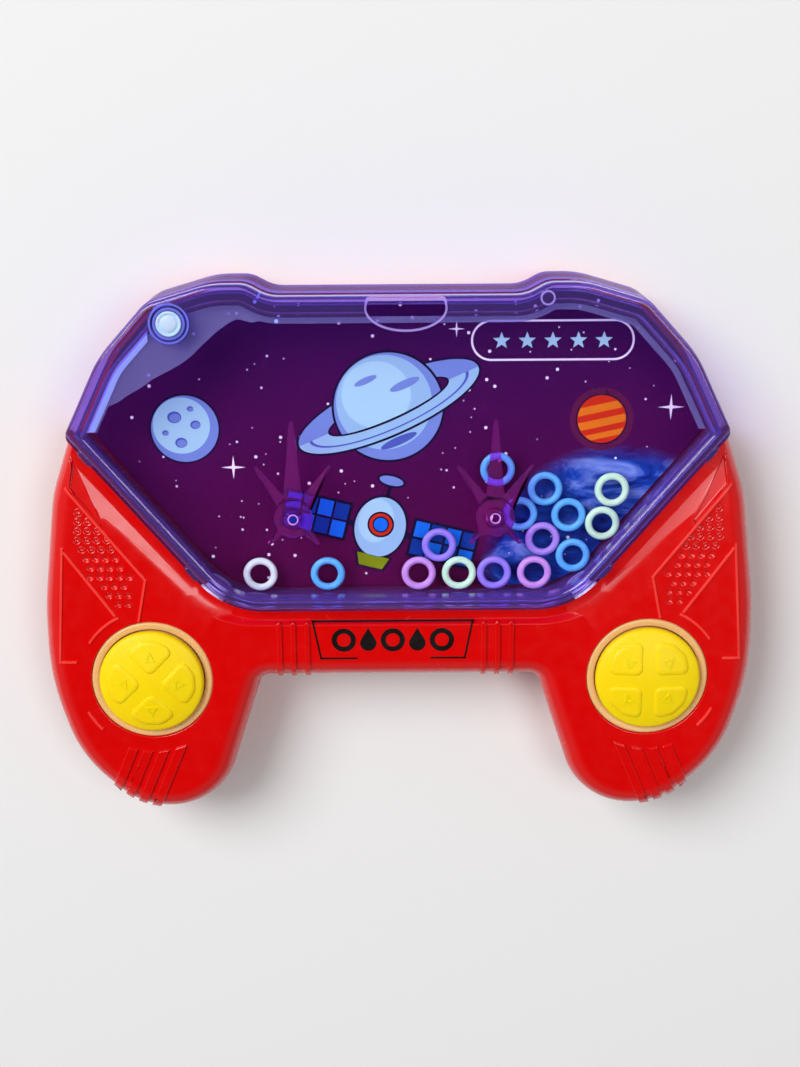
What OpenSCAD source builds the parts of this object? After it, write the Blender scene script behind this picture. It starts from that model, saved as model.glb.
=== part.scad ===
// Handheld water game shaped like a gamepad. It lies on its back: +Z points out of
// the window, +X to the right hand and +Y to the top edge of the tank.

/* [Housing outline] */
// Full width across the widest part of the grips
body_w = 152.2; // [148:0.1:160]
// Straight top edge, from the centre line
top_edge_y = 55.6; // [53:0.1:58]
// How far the two humps rise above the top edge
hump_rise = 2.5; // [1.5:0.1:3.5]
// From the housing's side to the inner foot of each hump
hump_in = 50.3; // [48:0.1:54]
// Lower edge of the bridge between the grips
bridge_y = -27.5; // [-32:0.1:-24]
// Lower end of the grips
grip_end_y = -58.1; // [-64:0.1:-55]
// Width of each grip at the bridge
grip_w = 46.3; // [43:0.1:49]
// Height of the shoulder where the tank meets the grip
shoulder_y = 26.0; // [22:0.1:28]

/* [Shells] */
// Front face of the grips above the back
face_z = 19.0; // [18:0.1:21]
// Height of the joint between the two shells
parting_z = 11.0; // [9.9:0.1:12]
// Wall of the moulded shells
shell_wall = 2.0; // [1.6:0.1:2.4]
// How far the front edge is rounded inward
front_round = 4.5; // [3:0.1:5]
// How far down that rounding reaches
front_drop = 5.0; // [4:0.1:6]
// How far the back edge is rounded inward
back_round = 5.0; // [3:0.1:6]
// How far up that rounding reaches
back_rise = 5.0; // [4:0.1:6]
// Width of the sunken gutter beside the tank
gutter_w = 2.5; // [1.5:0.1:3]
// Depth of that gutter below the front face
gutter_depth = 1.2; // [0.6:0.1:1.4]
// Clearance between the tank and the shells
fit_gap = 0.3; // [0.2:0.05:0.4]

/* [Tank] */
// Lower edge of the tank, from the centre line
tank_low_y = -11.9; // [-14:0.1:-10]
// Width of each diagonal, from the housing's side to the tank's lower corner
diagonal_w = 39.1; // [36:0.1:42]
// Radius of the tank's lower corners
low_corner_r = 18.0; // [14:0.5:20]
// Height at which the tank's skirt starts
skirt_z = 5.0; // [4.5:0.1:6]
// Wall of the tank
tank_wall = 1.8; // [1.4:0.1:2.2]
// Height of the lip that centres the tank on the back shell
lip_h = 2.6; // [2:0.1:3]
// Thickness of the printed card
card_t = 0.4; // [0.3:0.1:0.8]
// Thickness of the tank's back plate
plate_t = 2.0; // [1.6:0.1:2.2]
// Water depth between plate and window
tank_depth = 11.4; // [10.6:0.1:13]
// Thickness of the window pane
pane_t = 1.8; // [1.4:0.1:2.4]
// Height of the rim bead above the pane
rim_h = 0.8; // [0.4:0.1:1.2]
// Width of the ledge beside the lower rim
ledge_w = 1.7; // [1.2:0.1:2.2]

/* [Filler plug] */
// Filler bore in the window
plug_bore_d = 3.7; // [3:0.1:4]
// Head of the plug
plug_head_d = 5.2; // [4.6:0.1:6]
// Boss round the plug
plug_boss_d = 8.8; // [8:0.1:10]

/* [Buttons] */
// From the housing's side to the centre of a button
button_in = 22.8; // [21:0.1:25]
// Button centre, from the centre line
button_y = -27.4; // [-29:0.1:-26]
// Diameter of a button cap
cap_d = 22.5; // [20:0.1:23]
// Diameter of the well in the front shell
well_d = 26.2; // [25.6:0.1:27]
// How far a cap stands proud of the front face
cap_proud = 3.0; // [2:0.1:4]
// How far a cap can be pressed
cap_travel = 4.0; // [2.5:0.1:4.5]
// Diameter of the raised pads of a cap
pads_d = 18.4; // [17:0.1:19]
// Width of the cross that parts the pads
pad_gap = 2.6; // [2:0.1:3.5]

/* [Targets] */
// From the left diagonal, part of the way up, to the left hub
left_target_x = 27.54; // [25:0.02:30]
// From the right diagonal, part of the way up, to the right hub
right_target_x = 29.34; // [27:0.02:31]
// Height of both hubs on the picture
target_y = 7.5; // [6:0.1:9]
// Length of the needle above the hub
needle_len = 21.2; // [16:0.1:24]
// Length of the side arms
arm_len = 14.0; // [10:0.1:16]
// Length of the legs
leg_len = 7.9; // [6:0.1:9]
// Stand-off of the targets above the back plate
target_lift = 4.6; // [4:0.1:6]
// Thickness of the targets
target_t = 2.0; // [1.4:0.1:2.6]

/* [Rings] */
// Outer diameter of a ring
ring_d = 7.4; // [6.4:0.1:7.4]
// Thickness of a ring's round section
ring_t = 1.25; // [0.9:0.05:1.5]

/* [Relief of the front shell] */
// Height of ribs, stripes and pads above the surface round them
relief_h = 0.5; // [0.3:0.05:0.8]
// Width of a rib on the bridge
rib_w = 1.1; // [0.8:0.1:1.5]
// Distance from rib to rib
rib_pitch = 2.95; // [2.5:0.05:3.5]
// Width of a stripe on the grips
stripe_w = 2.0; // [1.5:0.1:2.5]
// Distance from stripe to stripe
stripe_pitch = 3.15; // [2.8:0.05:3.6]

/* [Screws] */
// Diameter of a screw's shank
screw_d = 2.5; // [2:0.1:3]
// Diameter of a screw's head
screw_head_d = 5.0; // [4:0.1:5.4]
// Length of a screw below its head
screw_len = 12.0; // [10:0.1:14]

/* [Hidden] */

$fn = 48;
// Largest turn between two neighbouring points of an outline
arc_step = 9;
// Margin by which a cut passes the surface that it opens
over = 1;
// Running clearance of stems and pins
run_gap = 0.05;

red = [0.90, 0.02, 0.02];
tint = [0.42, 0.30, 0.95, 0.45];
tan_rubber = [0.85, 0.62, 0.38];
yellow = [1.0, 0.85, 0.0];
milky = [0.92, 0.94, 1.0];
steel = [0.75, 0.76, 0.78];
magenta = [0.80, 0.10, 0.60, 0.7];
blue = [0.45, 0.75, 1.0];
pale_green = [0.80, 0.95, 0.80];
purple = [0.70, 0.50, 0.95];
orchid = [0.80, 0.65, 0.95];
pink = [0.95, 0.65, 0.85];
white = [0.95, 0.95, 0.92];

// Heights of the stack, from the back face up
card_z = skirt_z + lip_h;
plate_z = card_z + card_t;
water_z = plate_z + plate_t;
pane_z = water_z + tank_depth;
pane_top = pane_z + pane_t;
rim_top = pane_top + rim_h;
ledge_z = face_z + 0.6;

side_x = body_w / 2;
hump_y = top_edge_y + hump_rise;
hump_start_x = side_x - hump_in;
grip_inner_x = side_x - grip_w;
tank_low_x = side_x - diagonal_w;
button_x = side_x - button_in;
// Places of the outline's corners, from the housing's side, the grip's inner edge or a hump's foot
shoulder_in = 7;
upper_side_in = 15.1;
upper_corner_in = 25.3;
hump_end_in = 38.5;
hump_slope = 4.6;
grip_end_start = 9.9;
grip_end_stop = 27.5;
// Radius of the grip's inner lower corner, limited by the straight edge beside it
grip_end_r = min(
    grip_w / 2 - 8.15,
    0.64 * (grip_end_stop - grip_end_start) / tan(atan2(bridge_y - grip_end_y, grip_end_start) / 2)
);
upper_side_rise = 16.9;
shoulder_x = side_x - shoulder_in;
// Point of each diagonal, part of the way up, from which the targets and the rings' heap are placed
lean_x = tank_low_x + 0.4 * (shoulder_x - tank_low_x);

// Corners of the right half, from the top of the tank's side to the top edge: [x, y, radius]
top_corners = [
    [side_x - upper_side_in, shoulder_y + upper_side_rise, 20],
    [side_x - upper_corner_in, top_edge_y - 1.4, 8],
    [side_x - hump_end_in, hump_y, 20],
    [hump_start_x + hump_slope, hump_y, 6],
    [hump_start_x, top_edge_y, 8]
];
// Corners of the right half of the housing, from the bridge round the grip to the shoulder
grip_corners = [
    [grip_inner_x, bridge_y, 2.5],
    [grip_inner_x + grip_end_start, grip_end_y, grip_end_r],
    [grip_inner_x + grip_end_stop, grip_end_y, 16],
    [side_x - 5.8, grip_end_y + 11.7, 28],
    [side_x, -28.2, 55],
    [side_x, -11.7, 60],
    [side_x - 2.9, 12.7, 30],
    [side_x - 8.2, shoulder_y + 2.6, 30]
];
body_half = concat(grip_corners, top_corners);
tank_half = concat([[tank_low_x, tank_low_y, low_corner_r], [shoulder_x, shoulder_y, 2]], top_corners);

function flip(half) = [for (i = [len(half) - 1:-1:0]) [-half[i].x, half[i].y, half[i].z]];
body_corners = concat(body_half, flip(body_half));
tank_corners = concat(tank_half, flip(tank_half));

function unit(v) = v / norm(v);
function left_of(v) = [-v.y, v.x];
function flat(p) = [p.x, p.y];
function spin(v, a) = [v.x * cos(a) - v.y * sin(a), v.x * sin(a) + v.y * cos(a)];
// Inset of the edge from a to b: edges below the shoulder have their own
function edge_inset(a, b, side, low) = max(a.y, b.y) <= shoulder_y ? low : side;

// Arc that rounds corner b between a and c, with the edges moved inward
function corner_arc(a, b, c, side, low) =
    let (
        u = unit(flat(b) - flat(a)),
        v = unit(flat(c) - flat(b)),
        d_in = edge_inset(a, b, side, low),
        d_out = edge_inset(b, c, side, low),
        turn = acos(u * v),
        way = sign(u.x * v.y - u.y * v.x),
        r = max(b.z - way * (d_in + d_out) / 2, 0.2),
        k = u * v,
        corner = flat(b) + left_of(u) * (d_in - d_out * k) / (1 - k * k)
               + left_of(v) * (d_out - d_in * k) / (1 - k * k),
        centre = corner - u * r * tan(turn / 2) + way * r * left_of(u),
        steps = max(1, ceil(turn / arc_step))
    )
    [for (i = [0:steps]) centre + r * spin(-way * left_of(u), way * turn * i / steps)];

// Closed outline with rounded corners: side and low give the inset of the two groups of edges
function outline(corners, side = 0, low = undef) =
    let (n = len(corners), low_inset = is_undef(low) ? side : low)
    [for (i = [0:n - 1])
        each corner_arc(corners[(i + n - 1) % n], corners[i], corners[(i + 1) % n], side, low_inset)];

// Levels [z, inset] of an edge rounded by a quarter ellipse, from the side up to the face
function rounded_top(z, inset, drop) =
    [for (a = [0:22.5:90]) [z - drop * (1 - sin(a)), inset * (1 - cos(a))]];
function rounded_bottom(z, inset, rise) =
    [for (a = [90:-22.5:0]) [z + rise * (1 - sin(a)), inset * (1 - cos(a))]];

// Solid through parallel outlines: each level is [z, inset] or [z, side inset, low inset].
// A closed band holds the shaped sides, and a straight core fills its middle.
module loft(corners, levels) {
    last = len(levels) - 1;
    sides = [for (l = levels) l[1]];
    lows = [for (l = levels) len(l) > 2 ? l[2] : l[1]];
    core = max(sides) + 1;
    low_core = max(lows) + 1;
    bottom = levels[0][0];
    top = levels[last][0];
    rings = concat(
        [for (i = [0:last]) outline(corners, sides[i], lows[i])],
        [outline(corners, core, low_core), outline(corners, core, low_core)]
    );
    heights = concat([for (l = levels) l[0]], [top, bottom]);
    n = len(rings[0]);
    count = last + 3;
    points = [for (i = [0:count - 1]) each [for (p = rings[i]) [p.x, p.y, heights[i]]]];
    faces = [for (i = [0:count - 1]) each [for (k = [0:n - 1])
        [i * n + k, (i + 1) % count * n + k, (i + 1) % count * n + (k + 1) % n, i * n + (k + 1) % n]]];
    union() {
        polyhedron(points, faces);
        slab(corners, bottom, top, core - 0.5, low_core - 0.5);
    }
}

// Upright prism between two heights
module slab(corners, z0, z1, side = 0, low = undef) {
    translate([0, 0, z0])
        linear_extrude(z1 - z0)
            polygon(outline(corners, side, low));
}

// Tube wall between two radii
module pipe(r_out, r_in, z0, z1) {
    translate([0, 0, z0])
        difference() {
            cylinder(r = r_out, h = z1 - z0);
            translate([0, 0, -over])
                cylinder(r = r_in, h = z1 - z0 + 2 * over);
        }
}

module both_sides() {
    children();
    mirror([1, 0, 0]) children();
}

// Dimensions that the shells, tank and pumps share
hollow_drop = 3;
tray_round = 3;
tray_out = 6;
rim_step = 1.0;
flange_w = 2.2;
flange_t = 1.5;
flange_z = 8.3;
flange_in = 20.1;
flange_half = side_x - flange_in;
flange_top_y = 12;
flange_top = flange_z + flange_t;

// Prism of the tank, grown outward, where the flange runs
module beside_tank(z0, z1, grow) {
    intersection() {
        slab(tank_corners, z0, z1, -grow);
        translate([-flange_half, tank_low_y - 10, z0])
            cube([2 * flange_half, flange_top_y - tank_low_y + 10, z1 - z0]);
    }
}

// Screws through the shells
grip_screw_in = 20.2;
grip_screw_up = 7.6;
screw_places = [
    [side_x - 10.1, -3],
    [grip_inner_x + grip_screw_in, grip_end_y + grip_screw_up],
    [grip_inner_x - 9.8, bridge_y + 7.5]
];
screw_seat_z = 2.6;
boss_top = screw_seat_z + 5.4;

// Pump chamber and bellows
well_r = well_d / 2;
chamber_wall = 1.6;
chamber_r = well_r + 1.7;
chamber_in = chamber_r - chamber_wall;
bellows_flange_t = 1;
bellows_wall = 0.8;
// Clearance of a soft piece to its seat
soft_gap = 0.3;
cap_foot = face_z - 4;
fold_z = cap_foot - bellows_wall - soft_gap;
// At full travel the bellows reach the chamber's floor
chamber_z = fold_z - cap_travel - chamber_wall - soft_gap;
chamber_top = face_z - shell_wall - 0.8 - bellows_flange_t;
tube_z = chamber_top - 2.6;
tube_r = 2.4;
tube_bore_r = 1.5;

// The pump's tube runs from the button's centre to the centre of the tank's corner arc
corner_arc_centre = let (
        a = [-tank_low_x, tank_low_y], b = [tank_low_x, tank_low_y], c = [shoulder_x, shoulder_y],
        u = unit(b - a), v = unit(c - b), turn = acos(u * v)
    ) b - u * low_corner_r * tan(turn / 2) + low_corner_r * left_of(u);
tube_run = corner_arc_centre - [button_x, button_y];
tube_angle = atan2(tube_run.y, tube_run.x);
tube_len = norm(tube_run) - low_corner_r + tank_wall;

// Places the children at the right button, with +X along its tube
module at_tube() {
    translate([button_x, button_y, tube_z])
        rotate([0, 0, tube_angle])
            rotate([0, 90, 0])
                children();
}

module back_shell() {
    color(red) difference() {
        union() {
            difference() {
                union() {
                    difference() {
                        loft(body_corners, concat(rounded_bottom(0, back_round, back_rise), [[parting_z, 0]]));
                        slab(tank_corners, -over, parting_z + over, -fit_gap);
                    }
                    loft(tank_corners, [for (l = rounded_bottom(0, tray_round, skirt_z))
                        [l[0], l[1] + rim_step, l[1] - tray_out]]);
                }
                // Hollow of the grips and the bridge
                difference() {
                    loft(body_corners, [
                        [shell_wall, back_round],
                        [shell_wall + hollow_drop, shell_wall + 0.6],
                        [parting_z + over, shell_wall]
                    ]);
                    slab(tank_corners, 0, parting_z + 2 * over, -fit_gap - shell_wall, -fit_gap - shell_wall);
                }
                // Hollow under the tank
                slab(tank_corners, shell_wall, skirt_z + over, rim_step + 2.6, 1.9);
            }
            // Lip that the tank's skirt drops over
            difference() {
                slab(tank_corners, shell_wall, card_z, tank_wall + fit_gap);
                slab(tank_corners, 0, card_z + over, tank_wall + fit_gap + 1.5);
            }
            both_sides() {
                // Ring rib that the pump chamber stands on
                translate([button_x, button_y, 0])
                    pipe(10, 8, shell_wall - 0.5, chamber_z);
                for (p = screw_places)
                    translate([p.x, p.y, 0])
                        cylinder(d = screw_head_d + 3, h = boss_top);
            }
        }
        // Seat of the tank's flange
        beside_tank(flange_z, parting_z + over, fit_gap + shell_wall);
        both_sides()
            for (p = screw_places)
                translate([p.x, p.y, 0]) {
                    translate([0, 0, -over])
                        cylinder(d = screw_head_d + 0.4, h = screw_seat_z + over);
                    cylinder(d = screw_d + 0.4, h = boss_top + over);
                }
    }
}

// Block of the front shell, with its surface raised by a height inside the same outline
module front_block(raised = 0) {
    levels = rounded_top(face_z + raised, front_round + raised, front_drop + raised);
    loft(body_corners, concat([[parting_z, 0]], [for (l = levels) [l[0], max(l[1] - raised, 0)]]));
}

// Middles of the two groups of three ribs beside the bridge's panel
rib_groups = [-22.7, 21.0];
rib_end_y = tank_low_y - 3.0;
// Stripes run down the grips from an arc round the button
stripe_angle = -67;
stripe_first = -11.2;
stripe_start_r = well_r + 3.25;
stripe_len = 20;

// Raised ribs on the bridge and raised stripes on the grips
module front_relief() {
    intersection() {
        front_block(relief_h);
        union() {
            for (x = rib_groups, i = [-1:1])
                translate([x + i * rib_pitch - rib_w / 2, bridge_y - over, parting_z + over])
                    cube([rib_w, rib_end_y - bridge_y + over, face_z]);
            both_sides()
                translate([button_x, button_y, parting_z + over])
                    rotate([0, 0, stripe_angle]) difference() {
                        for (i = [0:3])
                            translate([0, stripe_first + i * stripe_pitch - stripe_w / 2, 0])
                                cube([stripe_start_r + stripe_len, stripe_w, face_z]);
                        cylinder(r = stripe_start_r, h = face_z);
                    }
        }
    }
}

// Outer edge of the bevel beside the diagonals
bevel_in = 11.5;
bevel_y = 12;
bevel_r = 30;
bevel_low_out = 3.4;
bevel_low_r = 22;

module front_shell() {
    color(red) difference() {
        union() {
            difference() {
                union() {
                    front_block();
                    front_relief();
                }
                difference() {
                    loft(body_corners, [
                        [parting_z - over, shell_wall],
                        [face_z - shell_wall - hollow_drop, shell_wall],
                        [face_z - shell_wall, shell_wall + 2.5]
                    ]);
                    slab(tank_corners, 0, face_z, -fit_gap - shell_wall);
                }
            }
            // Inner wall that reaches down to the tank's flange
            beside_tank(flange_top, parting_z + over, fit_gap + shell_wall);
            both_sides() {
                translate([button_x, button_y, 0])
                    pipe(chamber_r, well_r, chamber_top + bellows_flange_t, face_z - 0.5);
                for (p = screw_places)
                    translate([p.x, p.y, boss_top])
                        cylinder(d = screw_d + 4, h = face_z - shell_wall + 0.5 - boss_top);
            }
        }
        // Pocket for the tank
        slab(tank_corners, -over, face_z + over, -fit_gap);
        // Gutter beside the tank, with a wide bevel along the diagonals
        hull() {
            slab(tank_corners, face_z - gutter_depth, face_z - gutter_depth + 0.01, 0, -gutter_w);
            slab([
                [tank_low_x + bevel_low_out, tank_low_y - gutter_w - 0.8, bevel_low_r],
                [side_x - bevel_in, bevel_y, bevel_r],
                [side_x - 4.5, shoulder_y + 2, 0.5],
                [-side_x + 4.5, shoulder_y + 2, 0.5],
                [-side_x + bevel_in, bevel_y, bevel_r],
                [-tank_low_x - bevel_low_out, tank_low_y - gutter_w - 0.8, bevel_low_r]
            ], face_z, face_z + 0.5);
        }
        both_sides() {
            translate([button_x, button_y, parting_z])
                cylinder(r = well_r, h = face_z);
            for (p = screw_places)
                translate([p.x, p.y, boss_top - over])
                    cylinder(r = screw_d / 2 + run_gap, h = screw_seat_z + screw_len + 0.8 - boss_top + over);
            at_tube() cylinder(r = tube_r + fit_gap, h = tube_len);
        }
    }
}

plug_in = 30.3;
plug_down = 5.4;
plug_place = [plug_in - side_x, top_edge_y - plug_down];
scoop_place = [1.8, top_edge_y + 0.8];
scoop_r = 8.4;
scoop_depth = 0.5;
pip_place = [hump_start_x + 4.5, hump_y - 3.8];
pip_d = 3.2;
// Height of the boss and the pip above the rim
boss_rise = 0.4;

module tank_front() {
    color(tint) difference() {
        union() {
            slab(tank_corners, skirt_z, ledge_z);
            loft(tank_corners, [
                [ledge_z - 0.5, 0.2, ledge_w],
                [rim_top - 0.7, 0.4, ledge_w],
                [rim_top - 0.2, 0.6, ledge_w + 0.2],
                [rim_top, 1.1, ledge_w + 0.7]
            ]);
            beside_tank(flange_z, flange_top, flange_w);
            translate([plug_place.x, plug_place.y, pane_z])
                cylinder(d = plug_boss_d, h = rim_top - pane_z + boss_rise);
            translate([pip_place.x, pip_place.y, pane_z])
                cylinder(d = pip_d, h = rim_top - pane_z + boss_rise);
        }
        slab(tank_corners, skirt_z - over, ledge_z - 1.2, tank_wall);
        slab(tank_corners, ledge_z - 1.3, pane_z, tank_wall + 0.4, tank_wall + ledge_w);
        // The pane lies below the rim bead
        difference() {
            loft(tank_corners, [
                [pane_top, 4.5, ledge_w + 2.2],
                [rim_top + 0.01, 3.3, ledge_w + 1.4]
            ]);
            translate([plug_place.x, plug_place.y, pane_z])
                cylinder(d = plug_boss_d, h = rim_top);
        }
        translate([scoop_place.x, scoop_place.y, pane_top - scoop_depth])
            cylinder(r = scoop_r, h = rim_top);
        translate([plug_place.x, plug_place.y, pane_z - over])
            cylinder(d = plug_bore_d, h = rim_top);
        both_sides()
            at_tube() cylinder(r = tube_r + run_gap, h = tube_len + 2 * over);
    }
}

post_r = 1.8;
pin_r = 1.1;
target_z = water_z + target_lift;
target_places = [[left_target_x - lean_x, target_y], [lean_x - right_target_x, target_y]];

module tank_back() {
    color(tint) union() {
        slab(tank_corners, plate_z, water_z, tank_wall + run_gap);
        for (p = target_places)
            translate([p.x, p.y, water_z - 0.5]) {
                cylinder(r = post_r, h = target_lift + 0.5);
                cylinder(r = pin_r, h = target_lift + target_t + 0.9);
            }
    }
}

module picture_card() {
    color("indigo") slab(tank_corners, card_z, plate_z, tank_wall + 0.4);
}

// Flat blade that tapers to a rounded tip along +Y
module blade(len, root_w, tip_w) {
    polygon([[-root_w / 2, 0], [root_w / 2, 0], [tip_w / 2, len - tip_w / 2], [-tip_w / 2, len - tip_w / 2]]);
    translate([0, len - tip_w / 2]) circle(d = tip_w);
}

hub_r = 4.3;
needle_root = 5.0;
needle_tip = 1.0;
arm_root = 3.6;
leg_root = 3.2;
blade_tip = 0.7;
arm_angle = 35;
leg_angle = 136;

// One target: a hub with a long needle, two side arms and two short legs
module target() {
    linear_extrude(target_t) difference() {
        union() {
            circle(r = hub_r);
            blade(needle_len, needle_root, needle_tip);
            for (side = [-1, 1]) {
                rotate([0, 0, side * arm_angle]) blade(arm_len, arm_root, blade_tip);
                rotate([0, 0, side * leg_angle]) blade(leg_len, leg_root, blade_tip);
            }
        }
        circle(r = pin_r + run_gap);
    }
}

module left_target() {
    color(magenta) translate([target_places[0].x, target_places[0].y, target_z]) target();
}

module right_target() {
    color(magenta) translate([target_places[1].x, target_places[1].y, target_z]) target();
}

stem_below = 1.5;
head_h = 0.5;

module filler_plug() {
    color(milky) translate([plug_place.x, plug_place.y, 0]) {
        translate([0, 0, pane_z - stem_below])
            cylinder(d = plug_bore_d - 2 * run_gap, h = rim_top + boss_rise - pane_z + stem_below);
        translate([0, 0, rim_top + boss_rise])
            cylinder(d1 = plug_head_d, d2 = plug_head_d - 0.6, h = head_h);
    }
}

cap_top = face_z + cap_proud;
cap_r = cap_d / 2;
cap_wall = 1.6;
cap_stem_r = cap_r - cap_wall;
cap_bore_r = cap_stem_r - cap_wall;
cap_brim = face_z - 0.4;

dome_r = 40;
// Height of the head's side below the edge of the dome
cap_side = 1.2;

// Four raised pads that follow the dome
module cap_pads() {
    intersection() {
        translate([0, 0, cap_top + relief_h - dome_r]) sphere(r = dome_r, $fn = 160);
        translate([0, 0, cap_brim + cap_side]) difference() {
            cylinder(d = pads_d, h = cap_proud);
            translate([-cap_r, -pad_gap / 2, -over]) cube([2 * cap_r, pad_gap, cap_top]);
            translate([-pad_gap / 2, -cap_r, -over]) cube([pad_gap, 2 * cap_r, cap_top]);
        }
    }
}

// Profile of the cap: a domed head on a narrower skirt, hollow below
module button_cap() {
    cap_pads();
    rotate_extrude() difference() {
        union() {
            intersection() {
                translate([0, cap_top - dome_r]) circle(r = dome_r, $fn = 240);
                translate([0, cap_brim + cap_side - 0.2]) square([cap_r, cap_proud]);
            }
            translate([0, cap_brim]) square([cap_r - 0.4, cap_side]);
            translate([0, cap_foot]) square([cap_stem_r, cap_brim - cap_foot + 0.5]);
        }
        translate([-cap_r, cap_foot - over]) square([cap_r + cap_bore_r, cap_brim - cap_foot + over]);
        translate([-dome_r, cap_foot - over]) square([dome_r, dome_r]);
    }
}

module left_button_cap() {
    color(yellow) translate([-button_x, button_y, 0]) rotate([0, 0, 45]) button_cap();
}

module right_button_cap() {
    color(yellow) translate([button_x, button_y, 0]) button_cap();
}

lip_r = well_r - 0.95;
lip_section = 0.62;
lip_z = face_z - 0.75;
bellows_out = well_r - 0.35;
fold_out = cap_stem_r + 1.35;
pad_rise = 1.5;

// Rolling diaphragm: clamped flange, outer wall, rolled lip, inner wall and centre pad
module bellows() {
    rotate_extrude() {
        translate([well_r - 1.2, chamber_top]) square([chamber_r - well_r + 1.2, bellows_flange_t]);
        translate([bellows_out - bellows_wall, chamber_top])
            square([bellows_wall, lip_z - chamber_top]);
        translate([lip_r, lip_z]) circle(r = lip_section);
        translate([fold_out - bellows_wall, fold_z]) square([bellows_wall, lip_z - fold_z]);
        translate([fold_out - bellows_wall, lip_z - 0.4]) square([lip_r - fold_out + bellows_wall, 0.6]);
        translate([0, fold_z]) square([fold_out - 0.1, bellows_wall]);
        // Pad that centres the cap's hollow stem
        translate([0, fold_z]) square([cap_bore_r - soft_gap, cap_foot - fold_z + pad_rise]);
    }
}

module left_bellows() {
    color(tan_rubber) translate([-button_x, button_y, 0]) bellows();
}

module right_bellows() {
    color(tan_rubber) translate([button_x, button_y, 0]) bellows();
}

// Cup under the bellows, with the tube that feeds the tank
module pump_chamber() {
    color(tint) difference() {
        union() {
            translate([button_x, button_y, chamber_z])
                cylinder(r = chamber_r, h = chamber_top - chamber_z);
            at_tube() cylinder(r = tube_r, h = tube_len);
        }
        translate([button_x, button_y, chamber_z + chamber_wall])
            cylinder(r = chamber_in, h = chamber_top);
        at_tube() cylinder(r = tube_bore_r, h = tube_len + over);
    }
}

module left_pump_chamber() {
    mirror([1, 0, 0]) pump_chamber();
}

module right_pump_chamber() {
    pump_chamber();
}

module housing_screws() {
    color(steel) both_sides()
        for (p = screw_places)
            translate([p.x, p.y, screw_seat_z]) {
                cylinder(d = screw_d, h = screw_len);
                translate([0, 0, -1.6]) cylinder(d = screw_head_d, h = 1.6);
            }
}

// The rings have settled by the tank's lower corners: places [x, y] of the heap that leans on the right
// diagonal, measured from its point and from the tank's lower edge. Two more lie by the left corner and
// part of the way to the heap.
heap = [
    [-28.64, 28.7], [-18.44, 24.4], [-23.74, 18.9], [-13.34, 18.6], [-4.14, 24.1],
    [-6.04, 16.7], [-18.84, 13.3], [-12.24, 9.6], [-41.14, 12.1], [-45.54, 5.8],
    [-36.84, 5.8], [-29.24, 5.8], [-20.54, 5.8]
];
heap_end = heap[9];
left_ring_x = 7.0 - tank_low_x;
ring_places = concat(
    [for (p = heap) [lean_x + p.x, tank_low_y + p.y]],
    [
        [left_ring_x + 0.4257 * (lean_x + heap_end.x - left_ring_x), tank_low_y + heap_end.y],
        [left_ring_x, tank_low_y + heap_end.y]
    ]
);
ring_colours = [
    blue, blue, blue, blue, pale_green, pale_green, orchid, blue,
    purple, pink, pale_green, purple, pink, blue, white
];
ring_gap = 0.1;

module ring(number) {
    place = ring_places[number - 1];
    color(ring_colours[number - 1])
        translate([place.x, place.y, water_z + ring_gap + ring_t / 2])
            rotate_extrude()
                translate([(ring_d - ring_t) / 2, 0]) circle(d = ring_t);
}

back_shell();
front_shell();
tank_front();
tank_back();
picture_card();
left_target();
right_target();
filler_plug();
left_button_cap();
right_button_cap();
left_bellows();
right_bellows();
left_pump_chamber();
right_pump_chamber();
housing_screws();
ring(1);  // ring_01
ring(2);  // ring_02
ring(3);  // ring_03
ring(4);  // ring_04
ring(5);  // ring_05
ring(6);  // ring_06
ring(7);  // ring_07
ring(8);  // ring_08
ring(9);  // ring_09
ring(10);  // ring_10
ring(11);  // ring_11
ring(12);  // ring_12
ring(13);  // ring_13
ring(14);  // ring_14
ring(15);  // ring_15
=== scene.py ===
"""Handheld water game shaped like a gamepad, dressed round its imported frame.

The game lies on its back on a pale floor: X runs to the right hand, Y to the top edge of the tank and Z out of the
window. Shapes are worked out in millimetres and become metres when a piece is finished.
"""

import logging
import math
import random
from collections.abc import Callable, Sequence
from dataclasses import dataclass, field
from enum import Enum

import bmesh
import bpy
from mathutils import Matrix, Vector


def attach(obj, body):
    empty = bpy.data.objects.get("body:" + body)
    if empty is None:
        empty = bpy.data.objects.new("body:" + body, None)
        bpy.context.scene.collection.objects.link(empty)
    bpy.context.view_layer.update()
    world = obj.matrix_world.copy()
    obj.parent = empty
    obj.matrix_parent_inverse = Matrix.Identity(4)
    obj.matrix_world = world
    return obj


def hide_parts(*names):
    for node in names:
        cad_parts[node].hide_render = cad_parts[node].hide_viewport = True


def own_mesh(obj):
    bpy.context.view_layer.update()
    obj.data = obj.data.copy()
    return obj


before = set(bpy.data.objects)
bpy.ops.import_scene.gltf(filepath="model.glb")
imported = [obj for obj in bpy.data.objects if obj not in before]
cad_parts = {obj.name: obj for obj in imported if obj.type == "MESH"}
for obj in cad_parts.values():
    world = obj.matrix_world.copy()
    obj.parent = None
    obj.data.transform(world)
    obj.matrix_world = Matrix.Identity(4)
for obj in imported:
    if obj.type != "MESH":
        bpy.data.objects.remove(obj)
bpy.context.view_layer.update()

MM = 0.001
OVER = 1.0  # margin by which a cut passes the surface that it opens
WELD = 0.01  # distance within which a piece's points become one
AT_HEIGHT = 1e-4  # distance within which a point counts as lying at a height
ROUND_ANGLE = 38.0  # degrees above which an edge is rounded
log = logging.getLogger("water_game")

Point = tuple[float, float]
Level = tuple[float, ...]


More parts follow.
